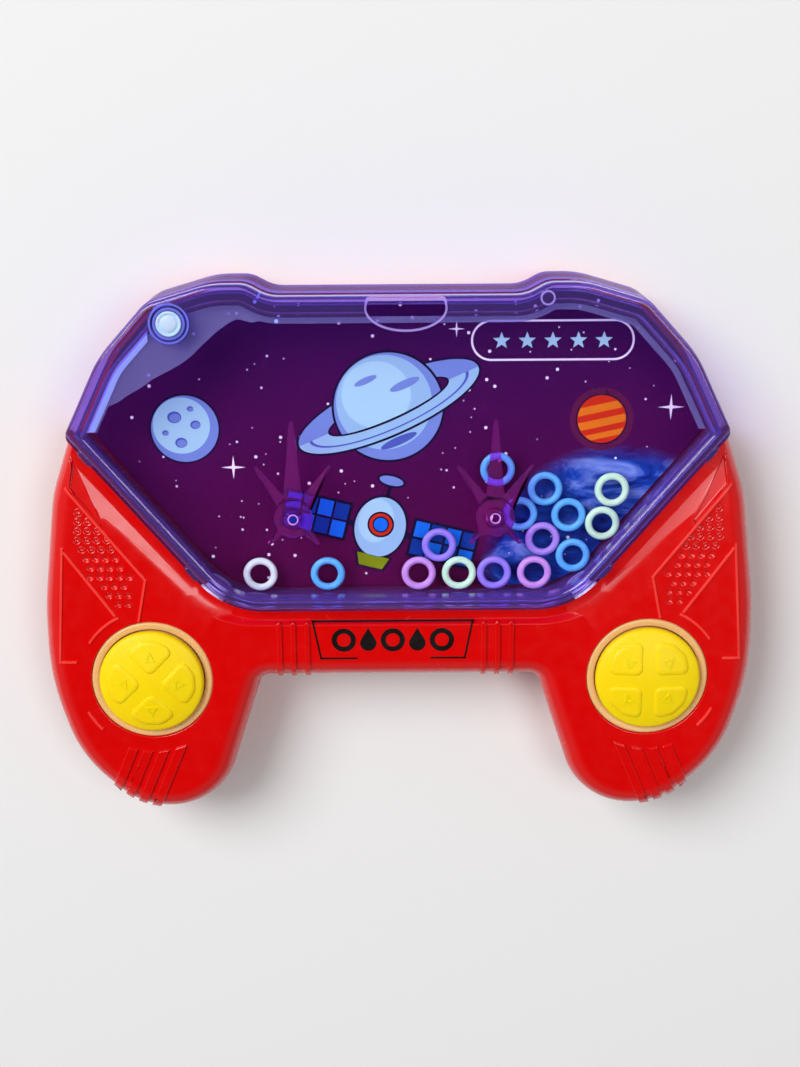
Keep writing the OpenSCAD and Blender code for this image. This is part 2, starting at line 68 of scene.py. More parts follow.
def linear(code: str) -> tuple[float, float, float, float]:
    """Turns an sRGB hex colour into linear light.

    Args:
        code: Colour such as "#E60012".

    Returns:
        Linear red, green and blue, and an alpha of 1.
    """
    parts = [int(code[i:i + 2], 16) / 255 for i in (1, 3, 5)]
    return (*[c / 12.92 if c <= 0.04045 else ((c + 0.055) / 1.055) ** 2.4 for c in parts], 1.0)


def add_node(tree: bpy.types.NodeTree, kind: str, inputs: dict | None = None, **settings: object) -> bpy.types.Node:
    """Adds one shader node with its settings, values and links.

    Args:
        tree: Node tree that takes the node.
        kind: Node type.
        inputs: Value, or another node's output, for each input by name or number.
        **settings: Attributes of the node.

    Returns:
        The new node.
    """
    node = tree.nodes.new(kind)
    for name, value in settings.items():
        setattr(node, name, value)
    for socket, value in (inputs or {}).items():
        if isinstance(value, bpy.types.NodeSocket):
            tree.links.new(value, node.inputs[socket])
        else:
            node.inputs[socket].default_value = value
    return node


def box(x0: float, y0: float, x1: float, y1: float) -> list[Point]:
    """Corners of a rectangle, counter-clockwise from its lower left one."""
    return [(x0, y0), (x1, y0), (x1, y1), (x0, y1)]


def star(tips: int, reach: float, waist: float, first: float = 0.0) -> list[Point]:
    """Points of a star round the origin.

    Args:
        tips: Number of its tips.
        reach: Radius of the tips.
        waist: Radius of the hollows between them.
        first: Angle of the first tip in radians.

    Returns:
        Tips and hollows in turn, counter-clockwise.
    """
    turns = [(waist if i % 2 else reach, first + i * math.pi / tips) for i in range(2 * tips)]
    return [(r * math.cos(a), r * math.sin(a)) for r, a in turns]


class Cut(Enum):
    """How a second form meets a first."""

    TAKE_AWAY = "DIFFERENCE"
    ADD = "UNION"
    KEEP_COMMON = "INTERSECT"


@dataclass(frozen=True)
class Sizes:
    """Sizes that several sub-assemblies share, in millimetres."""

    side_x: float = 76.1
    top_edge_y: float = 55.6
    hump_y: float = 58.1
    hump_x: float = 25.8
    bridge_y: float = -27.5
    grip_end_y: float = -58.1
    grip_inner_x: float = 29.8
    shoulder_y: float = 26.0
    face_z: float = 19.0
    parting_z: float = 11.0
    wall: float = 2.0
    fit_gap: float = 0.3
    tank_low_x: float = 37.0
    tank_low_y: float = -11.9
    skirt_z: float = 5.0
    tank_wall: float = 1.8
    card_z: float = 7.6
    plate_z: float = 8.0
    pane_z: float = 21.4
    pane_top: float = 23.2
    rim_top: float = 24.0
    ledge_z: float = 19.6
    ledge_w: float = 1.7
    button_x: float = 53.3
    button_y: float = -27.4
    well_r: float = 13.1
    cap_r: float = 11.25
    target_z: float = 14.6
    target_t: float = 2.0


SIZES = Sizes()


@dataclass(frozen=True)
class Corner:
    """One rounded corner of an outline."""

    x: float
    y: float
    radius: float

    @property
    def flipped(self) -> "Corner":
        """The same corner on the left side."""
        return Corner(-self.x, self.y, self.radius)


@dataclass(frozen=True)
class Outline:
    """Closed outline with rounded corners, drawn counter-clockwise."""

    corners: tuple[Corner, ...]
    split_y: float = SIZES.shoulder_y
    turn_step: float = 3.0
    least_step: float = 0.5

    @classmethod
    def mirrored(cls, half: Sequence[Corner]) -> "Outline":
        """Outline from the corners of its right half."""
        return cls(tuple(half) + tuple(c.flipped for c in reversed(half)))

    def face(self, mesh: bmesh.types.BMesh, height: float, side: float = 0.0,
             low: float | None = None) -> bmesh.types.BMFace:
        """Draws the outline as one flat face.

        Args:
            mesh: Mesh that takes the face.
            height: Height of the face.
            side: How far the edges above the shoulder move inward.
            low: How far the edges below the shoulder move inward; as side where it is left out.

        Returns:
            The new face.
        """
        low = side if low is None else low
        count = len(self.corners)
        loop: list[bmesh.types.BMVert] = []
        for i in range(count):
            loop += self._arc(mesh, height, i, side, low)
        return mesh.faces.new(loop)

    def _inset(self, a: Corner, b: Corner, side: float, low: float) -> float:
        """Inset of the edge between two corners."""
        return low if max(a.y, b.y) <= self.split_y else side

    def _arc(self, mesh: bmesh.types.BMesh, height: float, i: int, side: float, low: float) -> list[bmesh.types.BMVert]:
        """Spins one corner's vertex into its arc.

        Args:
            mesh: Mesh that takes the arc.
            height: Height of the arc.
            i: Number of the corner.
            side: Inset of the edges above the shoulder.
            low: Inset of the edges below the shoulder.

        Returns:
            The arc's vertices in order.
        """
        a, b, c = self.corners[i - 1], self.corners[i], self.corners[(i + 1) % len(self.corners)]
        u = Vector((b.x - a.x, b.y - a.y)).normalized()
        v = Vector((c.x - b.x, c.y - b.y)).normalized()
        d_in, d_out = self._inset(a, b, side, low), self._inset(b, c, side, low)
        k = max(-1.0, min(1.0, u.dot(v)))
        turn = math.acos(k)
        way = 1.0 if u.cross(v) >= 0 else -1.0
        radius = max(b.radius - way * (d_in + d_out) / 2, 0.2)
        left_u, left_v = Vector((-u.y, u.x)), Vector((-v.y, v.x))
        corner = (Vector((b.x, b.y)) + left_u * (d_in - d_out * k) / (1 - k * k)
                  + left_v * (d_out - d_in * k) / (1 - k * k))
        centre = corner - u * radius * math.tan(turn / 2) + way * radius * left_u
        start = centre - way * radius * left_u
        steps = max(2, min(math.ceil(math.degrees(turn) / self.turn_step), int(b.radius * turn / self.least_step)))
        first = mesh.verts.new((*start, height))
        before = len(mesh.verts)
        bmesh.ops.spin(mesh, geom=[first], cent=(*centre, height), axis=(0, 0, way), dvec=(0, 0, 0), angle=turn,
                       steps=steps, use_duplicate=False)
        mesh.verts.ensure_lookup_table()
        return [first, *mesh.verts[before:]]


def crown(top: float, run: float, drop: float, side: float = 0.0, low: float | None = None,
          steps: int = 6) -> list[Level]:
    """Levels of a rounded upper edge, from the sides up to the face.

    Args:
        top: Height of the face.
        run: How far the rounding reaches inward.
        drop: How far it reaches down.
        side: Inset of the sides.
        low: Inset of the sides below the shoulder.
        steps: Steps of the quarter turn.

    Returns:
        Height and both insets of each level.
    """
    low = side if low is None else low
    angles = [math.pi / 2 * i / steps for i in range(steps + 1)]
    return [(top - drop * (1 - math.sin(a)), side + run * (1 - math.cos(a)), low + run * (1 - math.cos(a)))
            for a in angles]


def foot(bottom: float, run: float, rise: float, side: float = 0.0, low: float | None = None,
         steps: int = 6) -> list[Level]:
    """Levels of a rounded lower edge, from the face up to the sides; the arguments are those of crown."""
    return [(2 * bottom - z, *insets) for z, *insets in reversed(crown(bottom, run, rise, side, low, steps))]


TOP_CORNERS = (
    Corner(SIZES.side_x - 15.1, SIZES.shoulder_y + 16.9, 20),
    Corner(SIZES.side_x - 25.3, SIZES.top_edge_y - 1.4, 8),
    Corner(SIZES.side_x - 38.5, SIZES.hump_y, 20),
    Corner(SIZES.hump_x + 4.6, SIZES.hump_y, 6),
    Corner(SIZES.hump_x, SIZES.top_edge_y, 8),
)
GRIP_CORNERS = (
    Corner(SIZES.grip_inner_x, SIZES.bridge_y, 2.5),
    Corner(SIZES.grip_inner_x + 9.9, SIZES.grip_end_y, 15),
    Corner(SIZES.grip_inner_x + 27.5, SIZES.grip_end_y, 16),
    Corner(SIZES.side_x - 5.8, SIZES.grip_end_y + 11.7, 28),
    Corner(SIZES.side_x, -28.2, 55),
    Corner(SIZES.side_x, -11.7, 60),
    Corner(SIZES.side_x - 2.9, 12.7, 30),
    Corner(SIZES.side_x - 8.2, SIZES.shoulder_y + 2.6, 30),
)
TANK_CORNERS = (Corner(SIZES.tank_low_x, SIZES.tank_low_y, 18), Corner(SIZES.side_x - 7, SIZES.shoulder_y, 2))
BODY = Outline.mirrored(GRIP_CORNERS + TOP_CORNERS)
TANK = Outline.mirrored(TANK_CORNERS + TOP_CORNERS)


class Form:
    """A closed mesh in millimetres that bmesh operators shape."""

    def __init__(self) -> None:
        """Starts empty."""
        self.mesh = bmesh.new()

    def prism(self, outline: Outline, bottom: float, top: float, side: float = 0.0, low: float | None = None) -> "Form":
        """Adds an upright prism on an outline.

        Args:
            outline: Outline of the prism.
            bottom: Height of its lower face.
            top: Height of its upper face.
            side: Inset of the outline's edges.
            low: Inset of the edges below the shoulder.

        Returns:
            This form.
        """
        return self._raise([outline.face(self.mesh, bottom, side, low)], top - bottom)

    def loft(self, outline: Outline, levels: Sequence[Level]) -> "Form":
        """Adds a solid through an outline at several heights.

        Args:
            outline: Outline that every level follows.
            levels: Height, inset and, where it differs, inset below the shoulder, from the bottom up.

        Returns:
            This form.
        """
        skin = bmesh.new()
        faces = [outline.face(skin, *level) for level in levels]
        rims = [face.edges[:] for face in faces]
        bmesh.ops.delete(skin, geom=faces[1:-1], context="FACES_ONLY")
        for below, above in zip(rims, rims[1:]):
            bmesh.ops.bridge_loops(skin, edges=below + above)
        bmesh.ops.recalc_face_normals(skin, faces=skin.faces[:])
        self._append(skin)
        skin.free()
        return self

    def plate(self, points: Sequence[Point], bottom: float, top: float) -> "Form":
        """Adds a plate on a plain polygon.

        Args:
            points: Corners of the polygon.
            bottom: Height of its lower face.
            top: Height of its upper face.

        Returns:
            This form.
        """
        face = self.mesh.faces.new([self.mesh.verts.new((x, y, bottom)) for x, y in points])
        return self._raise([face], top - bottom)

    def _raise(self, faces: list[bmesh.types.BMFace], height: float) -> "Form":
        """Extrudes flat faces upward."""
        made = bmesh.ops.extrude_face_region(self.mesh, geom=faces)["geom"]
        moved = [v for v in made if isinstance(v, bmesh.types.BMVert)]
        bmesh.ops.translate(self.mesh, verts=moved, vec=(0, 0, height))
        bmesh.ops.recalc_face_normals(self.mesh, faces=self.mesh.faces[:])
        return self

    def disc(self, radius: float, bottom: float, top: float, at: Point = (0.0, 0.0), segments: int = 96) -> "Form":
        """Adds an upright cylinder.

        Args:
            radius: Its radius.
            bottom: Height of the lower face.
            top: Height of the upper face.
            at: Centre.
            segments: Sides.

        Returns:
            This form.
        """
        bmesh.ops.create_cone(self.mesh, cap_ends=True, segments=segments, radius1=radius, radius2=radius,
                              depth=top - bottom, matrix=Matrix.Translation((*at, (bottom + top) / 2)))
        return self

    def tube(self, outer: float, inner: float, bottom: float, top: float, at: Point = (0.0, 0.0),
             segments: int = 96) -> "Form":
        """Adds an upright cylinder with a round hole through it.

        Args:
            outer: Outer radius.
            inner: Radius of the hole.
            bottom: Height of the lower face.
            top: Height of the upper face.
            at: Centre.
            segments: Sides.

        Returns:
            This form.
        """
        ring = Form().disc(outer, bottom, top, at, segments)
        return self.join(ring.cut(Form().disc(inner, bottom - OVER, top + OVER, at, segments)))

    def stroke(self, points: Sequence[Point], width: float, bottom: float, top: float) -> "Form":
        """Adds an upright wall along a few points.

        Args:
            points: Points that it follows.
            width: Its thickness.
            bottom: Height of the lower face.
            top: Height of the upper face.

        Returns:
            This form.
        """
        for (x0, y0), (x1, y1) in zip(points, points[1:]):
            along = Vector((x1 - x0, y1 - y0)).normalized() * width / 2
            side = Vector((-along.y, along.x))
            first, last = Vector((x0, y0)) - along, Vector((x1, y1)) + along
            self.plate([tuple(c) for c in (first + side, first - side, last - side, last + side)], bottom, top)
        return self

    def ball(self, radius: float, at: tuple[float, float, float]) -> "Form":
        """Adds a sphere."""
        bmesh.ops.create_uvsphere(self.mesh, u_segments=16, v_segments=8, radius=radius,
                                  matrix=Matrix.Translation(at))
        return self

    def lathe(self, profile: Sequence[Point], at: Point = (0.0, 0.0), segments: int = 96) -> "Form":
        """Spins a closed profile about an upright axis.

        Args:
            profile: Radius and height of each point, in order.
            at: Place of the axis.
            segments: Steps of the full turn.

        Returns:
            This form.
        """
        turned = bmesh.new()
        points = [turned.verts.new((at[0] + r, at[1], z)) for r, z in profile]
        edges = [turned.edges.new((a, b)) for a, b in zip(points, points[1:] + points[:1])]
        bmesh.ops.spin(turned, geom=points + edges, cent=(*at, 0), axis=(0, 0, 1), dvec=(0, 0, 0), angle=math.tau,
                       steps=segments, use_merge=True, use_duplicate=False)
        bmesh.ops.remove_doubles(turned, verts=turned.verts[:], dist=1e-4)
        bmesh.ops.delete(turned, geom=[e for e in turned.edges if not e.link_faces], context="EDGES")
        bmesh.ops.recalc_face_normals(turned, faces=turned.faces[:])
        self._append(turned)
        turned.free()
        return self

    def hull(self, *faces: Callable[[bmesh.types.BMesh], bmesh.types.BMFace]) -> "Form":
        """Adds the convex hull of a few flat faces.

        Args:
            *faces: Functions that draw one face each.

        Returns:
            This form.
        """
        skin = bmesh.new()
        for draw in faces:
            draw(skin)
        bmesh.ops.delete(skin, geom=skin.faces[:], context="FACES_ONLY")
        made = bmesh.ops.convex_hull(skin, input=skin.verts[:])
        loose = {v for key in ("geom_interior", "geom_unused") for v in made[key] if isinstance(v, bmesh.types.BMVert)}
        bmesh.ops.delete(skin, geom=list(loose), context="VERTS")
        bmesh.ops.delete(skin, geom=[e for e in skin.edges if not e.link_faces], context="EDGES")
        bmesh.ops.recalc_face_normals(skin, faces=skin.faces[:])
        self._append(skin)
        skin.free()
        return self

    def _append(self, other: bmesh.types.BMesh) -> None:
        """Copies another mesh into this one."""
        held = bpy.data.meshes.new("held")
        other.to_mesh(held)
        self.mesh.from_mesh(held)
        bpy.data.meshes.remove(held)

    def join(self, *others: "Form") -> "Form":
        """Copies other forms into this one, side by side.

        Args:
            *others: Forms to copy.

        Returns:
            This form.
        """
        for other in others:
            self._append(other.mesh)
        return self

    def both_sides(self) -> "Form":
        """Adds the form's mirror image on the other side."""
        made = bmesh.ops.duplicate(self.mesh, geom=self.mesh.faces[:] + self.mesh.edges[:] + self.mesh.verts[:])["geom"]
        bmesh.ops.scale(self.mesh, vec=(-1, 1, 1), verts=[g for g in made if isinstance(g, bmesh.types.BMVert)])
        bmesh.ops.reverse_faces(self.mesh, faces=[g for g in made if isinstance(g, bmesh.types.BMFace)])
        return self

    def shift(self, x: float = 0.0, y: float = 0.0, z: float = 0.0) -> "Form":
        """Moves the whole form."""
        bmesh.ops.translate(self.mesh, verts=self.mesh.verts[:], vec=(x, y, z))
        return self

    def turn(self, degrees: float) -> "Form":
        """Turns the whole form about the upright axis through the origin."""
        bmesh.ops.rotate(self.mesh, verts=self.mesh.verts[:], cent=(0, 0, 0),
                         matrix=Matrix.Rotation(math.radians(degrees), 3, "Z"))
        return self

    def round_rim(self, height: float, width: float) -> "Form":
        """Rounds the edges between a level face and the sides below or above it.

        Args:
            height: Height of the face.
            width: How far the rounding reaches.

        Returns:
            This form.
        """
        self.mesh.normal_update()
        rim = [e for e in self.mesh.edges
               if all(abs(v.co.z - height) < AT_HEIGHT for v in e.verts)
               and any(abs(f.normal.z) < 0.9 for f in e.link_faces)]
        bmesh.ops.bevel(self.mesh, geom=rim, offset=width, offset_type="OFFSET", segments=4, profile=0.5,
                        affect="EDGES", material=-1)
        return self

    def stretch(self, x: float, y: float) -> "Form":
        """Scales the whole form sideways."""
        bmesh.ops.scale(self.mesh, vec=(x, y, 1), verts=self.mesh.verts[:])
        return self

    def drape(self, radius: float) -> "Form":
        """Bends the form down over a ball of a radius whose top lies on its axis."""
        for v in self.mesh.verts:
            v.co.z -= radius - math.sqrt(radius ** 2 - v.co.x ** 2 - v.co.y ** 2)
        return self

    def combine(self, other: "Form", way: Cut) -> "Form":
        """Cuts another form away from this one, adds it, or keeps what both share.

        Args:
            other: The other form; it isn't used again.
            way: How they meet.

        Returns:
            This form.
        """
        held = []
        for form in (self, other):
            mesh = bpy.data.meshes.new("held")
            form.mesh.to_mesh(mesh)
            held.append(bpy.data.objects.new("held", mesh))
            bpy.context.collection.objects.link(held[-1])
        joint = held[0].modifiers.new("joint", "BOOLEAN")
        joint.operation, joint.solver, joint.use_self, joint.object = way.value, "EXACT", True, held[1]
        shaped = held[0].evaluated_get(bpy.context.evaluated_depsgraph_get())
        self.mesh.clear()
        self.mesh.from_mesh(shaped.to_mesh())
        shaped.to_mesh_clear()
        for thing in held:
            mesh = thing.data
            bpy.data.objects.remove(thing)
            bpy.data.meshes.remove(mesh)
        other.mesh.free()
        return self

    def cut(self, other: "Form") -> "Form":
        """Takes another form away."""
        return self.combine(other, Cut.TAKE_AWAY)

    def add(self, other: "Form") -> "Form":
        """Fuses another form to this one."""
        return self.combine(other, Cut.ADD)

    def common(self, other: "Form") -> "Form":
        """Keeps what this form shares with another."""
        return self.combine(other, Cut.KEEP_COMMON)

    def piece(self, name: str, finish: "Finish | Sequence[Finish]", body: str, slot: str,
              replaces: Sequence[str] = (), soften: float = 0.0, sharp: float = 35.0) -> bpy.types.Object:
        """Finishes the form as a named piece that rides on a body.

        Args:
            name: Name of the piece.
            finish: Its finish, or one for each material number.
            body: Body that it rides on.
            slot: Material slot of the record; not used.
            replaces: CAD nodes that it stands for.
            soften: Width of the rounding of its sharp edges.
            sharp: Angle above which an edge stays sharp where nothing is rounded.

        Returns:
            The new object.
        """
        bmesh.ops.triangulate(self.mesh, faces=[f for f in self.mesh.faces if len(f.verts) > 4])
        bmesh.ops.remove_doubles(self.mesh, verts=self.mesh.verts[:], dist=WELD)
        bmesh.ops.dissolve_degenerate(self.mesh, edges=self.mesh.edges[:], dist=WELD)
        bmesh.ops.scale(self.mesh, vec=(MM, MM, MM), verts=self.mesh.verts[:])
        made = bpy.data.meshes.new(name)
        self.mesh.to_mesh(made)
        self.mesh.free()
        made.polygons.foreach_set("use_smooth", [True] * len(made.polygons))
        for each in [finish] if isinstance(finish, Finish) else finish:
            made.materials.append(dress(each))
        thing = bpy.data.objects.new(name, made)
        bpy.context.collection.objects.link(thing)
        if soften:
            bevel = thing.modifiers.new("edges", "BEVEL")
            bevel.width, bevel.segments, bevel.limit_method = soften * MM, 3, "ANGLE"
            bevel.angle_limit, bevel.use_clamp_overlap, bevel.harden_normals = math.radians(ROUND_ANGLE), False, True
        else:
            made.set_sharp_from_angle(angle=math.radians(sharp))
        thing.modifiers.new("normals", "WEIGHTED_NORMAL").keep_sharp = True
        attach(thing, body)
        if replaces:
            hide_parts(*replaces)
        log.info("%s rides on %s with %d faces", name, body, len(made.polygons))
        return thing


@dataclass(frozen=True)
class Finish:
    """What a surface is made of."""

    name: str
    colour: str
    roughness: float

    def start(self) -> tuple[bpy.types.Material, bpy.types.NodeTree, bpy.types.Node, bpy.types.NodeSocket]:
        """Starts a material.

        Returns:
            The material, its empty tree, its output node and the piece's own coordinates.
        """
        made = bpy.data.materials.new(self.name)
        made.use_nodes = True
        tree = made.node_tree
        tree.nodes.clear()
        output = add_node(tree, "ShaderNodeOutputMaterial")
        place = add_node(tree, "ShaderNodeTexCoord").outputs["Object"]
        return made, tree, output, place

    def build(self) -> bpy.types.Material:
        """Makes the material."""
        raise NotImplementedError


def dress(finish: Finish) -> bpy.types.Material:
    """Gives the material of a finish, made once."""
    return bpy.data.materials.get(finish.name) or finish.build()


def redress(node: str, finish: Finish) -> None:
    """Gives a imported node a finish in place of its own.

    Args:
        node: Name of the node in the frame.
        finish: Finish that it gets.
    """
    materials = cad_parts[node].data.materials
    materials.clear()
    materials.append(dress(finish))


@dataclass(frozen=True)
class Moulded(Finish):
    """Injection-moulded plastic: an even skin with faint flow drifts, handling scuffs and a very fine grain."""

    drift: str = "#000000"
    drift_mm: float = 22.0
    scuff: float = 0.08
    grain_mm: float = 0.5
    grain_depth: float = 0.01
    ior: float = 1.53
    shine: float = 0.5
    coat: float = 0.0
    soak: float = 0.0
    soak_mm: float = 1.0

    def build(self) -> bpy.types.Material:
        """Makes the material."""
        made, tree, output, place = self.start()
        flow = add_node(tree, "ShaderNodeTexNoise", {"Vector": place, "Scale": 1 / (self.drift_mm * MM), "Detail": 3.0})
        colour = add_node(tree, "ShaderNodeMix", {
            "Factor": flow.outputs["Fac"], 6: linear(self.drift), 7: linear(self.colour)}, data_type="RGBA")
        worn = add_node(tree, "ShaderNodeTexNoise", {"Vector": place, "Scale": 1 / (3.0 * MM), "Detail": 6.0})
        rough = add_node(tree, "ShaderNodeMapRange", {
            "Value": worn.outputs["Fac"], "From Min": 0.35, "From Max": 0.7, "To Min": self.roughness,
            "To Max": self.roughness + self.scuff})
        grain = add_node(tree, "ShaderNodeTexNoise", {"Vector": place, "Scale": 1 / (self.grain_mm * MM)})
        bump = add_node(tree, "ShaderNodeBump", {
            "Height": grain.outputs["Fac"], "Distance": self.grain_depth * MM, "Strength": 0.6})
        skin = add_node(tree, "ShaderNodeBsdfPrincipled", {
            "Base Color": colour.outputs[2], "Roughness": rough.outputs["Result"], "IOR": self.ior,
            "Specular IOR Level": self.shine, "Coat Weight": self.coat, "Coat Roughness": 0.06,
            "Subsurface Weight": self.soak, "Subsurface Scale": self.soak_mm * MM, "Normal": bump.outputs["Normal"]})
        tree.links.new(skin.outputs[0], output.inputs["Surface"])
        return made


@dataclass(frozen=True)
class Tinted(Finish):
    """Clear tinted polystyrene: gloss on both faces and a colour that deepens with the thickness looked through."""

    absorbs: str = "#FFFFFF"
    density: float = 0.0
    ior: float = 1.3
    haze: float = 0.0
    coat: float = 0.3
    shade: str = ""

    def build(self) -> bpy.types.Material:
        """Makes the material."""
        made, tree, output, place = self.start()
        ripple = add_node(tree, "ShaderNodeTexNoise", {"Vector": place, "Scale": 1 / (9.0 * MM), "Detail": 1.0})
        bump = add_node(tree, "ShaderNodeBump", {
            "Height": ripple.outputs["Fac"], "Distance": 0.03 * MM, "Strength": 0.5})
        glass = add_node(tree, "ShaderNodeBsdfPrincipled", {
            "Base Color": linear(self.colour), "Roughness": self.roughness, "IOR": self.ior,
            "Transmission Weight": 1.0 - self.haze, "Coat Weight": self.coat, "Coat Roughness": 0.02,
            "Normal": bump.outputs["Normal"]})
        clear = add_node(tree, "ShaderNodeBsdfTransparent", {"Color": linear(self.shade or self.colour)})
        shadow = add_node(tree, "ShaderNodeLightPath").outputs["Is Shadow Ray"]
        mix = add_node(tree, "ShaderNodeMixShader", {0: shadow, 1: glass.outputs[0], 2: clear.outputs[0]})
        tree.links.new(mix.outputs[0], output.inputs["Surface"])
        if self.density:
            volume = add_node(tree, "ShaderNodeVolumeAbsorption", {
                "Color": linear(self.absorbs), "Density": self.density})
            tree.links.new(volume.outputs[0], output.inputs["Volume"])
        return made


@dataclass(frozen=True)
class NightPrint(Finish):
    """Offset-printed card: a night sky that runs from navy violet to maroon, with a bank of blue and pale cloud."""

    low_colour: str = "#44002F"
    cloud_dark: str = "#0B0448"
    cloud_blue: str = "#123486"
    cloud_pale: str = "#6E80BC"
    top_y: float = 50.0
    low_y: float = -10.0
    cloud_at: Point = (47.0, -8.0)
    cloud_r: float = 34.0

    def build(self) -> bpy.types.Material:
        """Makes the material."""
        made, tree, output, place = self.start()
        split = add_node(tree, "ShaderNodeSeparateXYZ", {0: place})
        height = add_node(tree, "ShaderNodeMapRange", {
            "Value": split.outputs["Y"], "From Min": self.low_y * MM, "From Max": self.top_y * MM})
        sky = add_node(tree, "ShaderNodeMix", {"Factor": height.outputs["Result"], 6: linear(self.low_colour),
                                               7: linear(self.colour)}, data_type="RGBA")
        centred = add_node(tree, "ShaderNodeMapping", {
            "Vector": place, "Location": tuple(-c / self.cloud_r for c in (*self.cloud_at, SIZES.plate_z)),
            "Scale": (1 / (self.cloud_r * MM),) * 3})
        glow = add_node(tree, "ShaderNodeTexGradient", {"Vector": centred.outputs[0]}, gradient_type="SPHERICAL")
        body = add_node(tree, "ShaderNodeMapRange", {"Value": glow.outputs["Fac"], "From Min": 0.12, "From Max": 0.24})
        stretched = add_node(tree, "ShaderNodeMapping", {
            "Vector": place, "Rotation": (0, 0, 0.5), "Scale": (0.6, 1.5, 1)})
        wisps = add_node(tree, "ShaderNodeTexNoise", {
            "Vector": stretched.outputs[0], "Scale": 1 / (8.0 * MM), "Detail": 7.0, "Roughness": 0.6,
            "Distortion": 1.0})
        tones = add_node(tree, "ShaderNodeValToRGB", {"Fac": wisps.outputs["Fac"]})
        tones.color_ramp.elements[0].position, tones.color_ramp.elements[0].color = 0.36, linear(self.cloud_dark)
        tones.color_ramp.elements[1].position, tones.color_ramp.elements[1].color = 0.72, linear(self.cloud_pale)
        tones.color_ramp.elements.new(0.52).color = linear(self.cloud_blue)
        lit = add_node(tree, "ShaderNodeMix", {
            "Factor": body.outputs["Result"], 6: sky.outputs[2], 7: tones.outputs["Color"]}, data_type="RGBA")
        dots = add_node(tree, "ShaderNodeTexNoise", {"Vector": place, "Scale": 1 / (0.25 * MM)})
        bump = add_node(tree, "ShaderNodeBump", {"Height": dots.outputs["Fac"], "Distance": 0.01 * MM, "Strength": 0.3})
        paper = add_node(tree, "ShaderNodeBsdfPrincipled", {
            "Base Color": lit.outputs[2], "Roughness": self.roughness, "Specular IOR Level": 0.05,
            "Normal": bump.outputs["Normal"]})
        tree.links.new(paper.outputs[0], output.inputs["Surface"])
        return made


@dataclass(frozen=True)
class Metal(Finish):
    """Zinc-plated steel: a bright metal with the faint turning marks of a screw head."""

    def build(self) -> bpy.types.Material:
        """Makes the material."""
        made, tree, output, place = self.start()
        marks = add_node(tree, "ShaderNodeTexNoise", {"Vector": place, "Scale": 1 / (0.4 * MM), "Detail": 4.0})
        rough = add_node(tree, "ShaderNodeMapRange", {
            "Value": marks.outputs["Fac"], "To Min": self.roughness, "To Max": self.roughness + 0.2})
        metal = add_node(tree, "ShaderNodeBsdfPrincipled", {
            "Base Color": linear(self.colour), "Metallic": 1.0, "Roughness": rough.outputs["Result"]})
        tree.links.new(metal.outputs[0], output.inputs["Surface"])
        return made


RED_STYRENE = Moulded("red_high_impact_styrene", "#E20202", 0.2, drift="#D60202", shine=0.4, coat=0.3,
                      grain_depth=0.004)
# Paler red of the raised panel lines: a painted highlight on their crests.
RED_HIGHLIGHT = Moulded("red_styrene_painted_highlight", "#FF4238", 0.3, drift="#F02C24", shine=0.5, grain_depth=0.0)
YELLOW_ETHENE = Moulded("yellow_polyethylene", "#FFE400", 0.4, drift="#FFD400", shine=0.25, grain_depth=0.006, soak=0.3,
                        soak_mm=1.2)
TAN_VINYL = Moulded("tan_soft_vinyl", "#F6C98C", 0.36, drift="#EDB474", soak=0.6, soak_mm=1.5, scuff=0.12)
WALL_STYRENE = Tinted("violet_clear_styrene", "#9476E4", 0.03, ior=1.34, coat=0.4, haze=0.12, shade="#DCD8E8")
SKIRT_STYRENE = Tinted("violet_skirt_styrene", "#7A62D8", 0.1, ior=1.02, coat=0.0, haze=0.32, shade="#DCD8E8")
PANE_STYRENE = Tinted("window_clear_styrene", "#F8F8FF", 0.01, ior=1.12, coat=0.1)
CLEAR_STYRENE = Tinted("plain_clear_styrene", "#FCFCFF", 0.02, ior=1.02, coat=0.0)
TARGET_STYRENE = Tinted("magenta_clear_styrene", "#F478F0", 0.05, absorbs="#F030C8", density=300.0, ior=1.04, haze=0.03,
                        coat=0.05, shade="#FCD8FA")
MILKY_VINYL = Moulded("milky_soft_vinyl", "#CFE0FF", 0.3, drift="#BCD2FF", soak=0.6, soak_mm=2.0)
CHAMBER_ETHENE = Moulded("natural_polyethylene", "#E4E4E8", 0.45, drift="#DADAE0", soak=0.2)
ZINC_STEEL = Metal("zinc_plated_steel", "#C4C6CA", 0.3)
CARD_PRINT = NightPrint("offset_printed_card", "#2E003E", 0.6)
BLACK_STAMP = Moulded("black_hot_stamp", "#120606", 0.28, drift="#0C0404", grain_depth=0.004)
POCKET_AIR = Tinted("air_under_window", "#A49AD8", 0.25, ior=1.02, haze=0.15, coat=0.0)
# Pale blue: painted glint along the upper left wall of the tank, laid under the window like a film of air.
GLINT_AIR = Tinted("painted_glint_by_rim", "#B8CCFF", 0.3, ior=1.02, haze=0.45, coat=0.0)
# Pale violet: painted highlight on the scoop's edge and round the pip.
HIGHLIGHT_STYRENE = Tinted("painted_highlight_styrene", "#D2BCF8", 0.2, ior=1.05, haze=0.4, coat=0.3)
# Pale blue rings on the filler boss: painted glints.
BOSS_GLINT_STYRENE = Tinted("boss_glint_styrene", "#A4B4FF", 0.35, ior=1.05, haze=0.3, coat=0.3)
# Pale pink ring round each target's pin: painted highlight.
PIN_GLINT_STYRENE = Tinted("pin_rim_glint_styrene", "#E8A8F4", 0.2, ior=1.02, haze=0.4, coat=0.0)


@dataclass(frozen=True)
class RingColour:
    """Colour of a soft moulded ring."""

    slot: str
    colour: str

    @property
    def finish(self) -> Moulded:
        """Soft polyethylene in this colour, slightly see-through."""
        return Moulded(f"{self.slot}_polyethylene", self.colour, 0.4, drift=self.colour, shine=0.3, soak=0.3,
                       soak_mm=0.8, grain_depth=0.004)


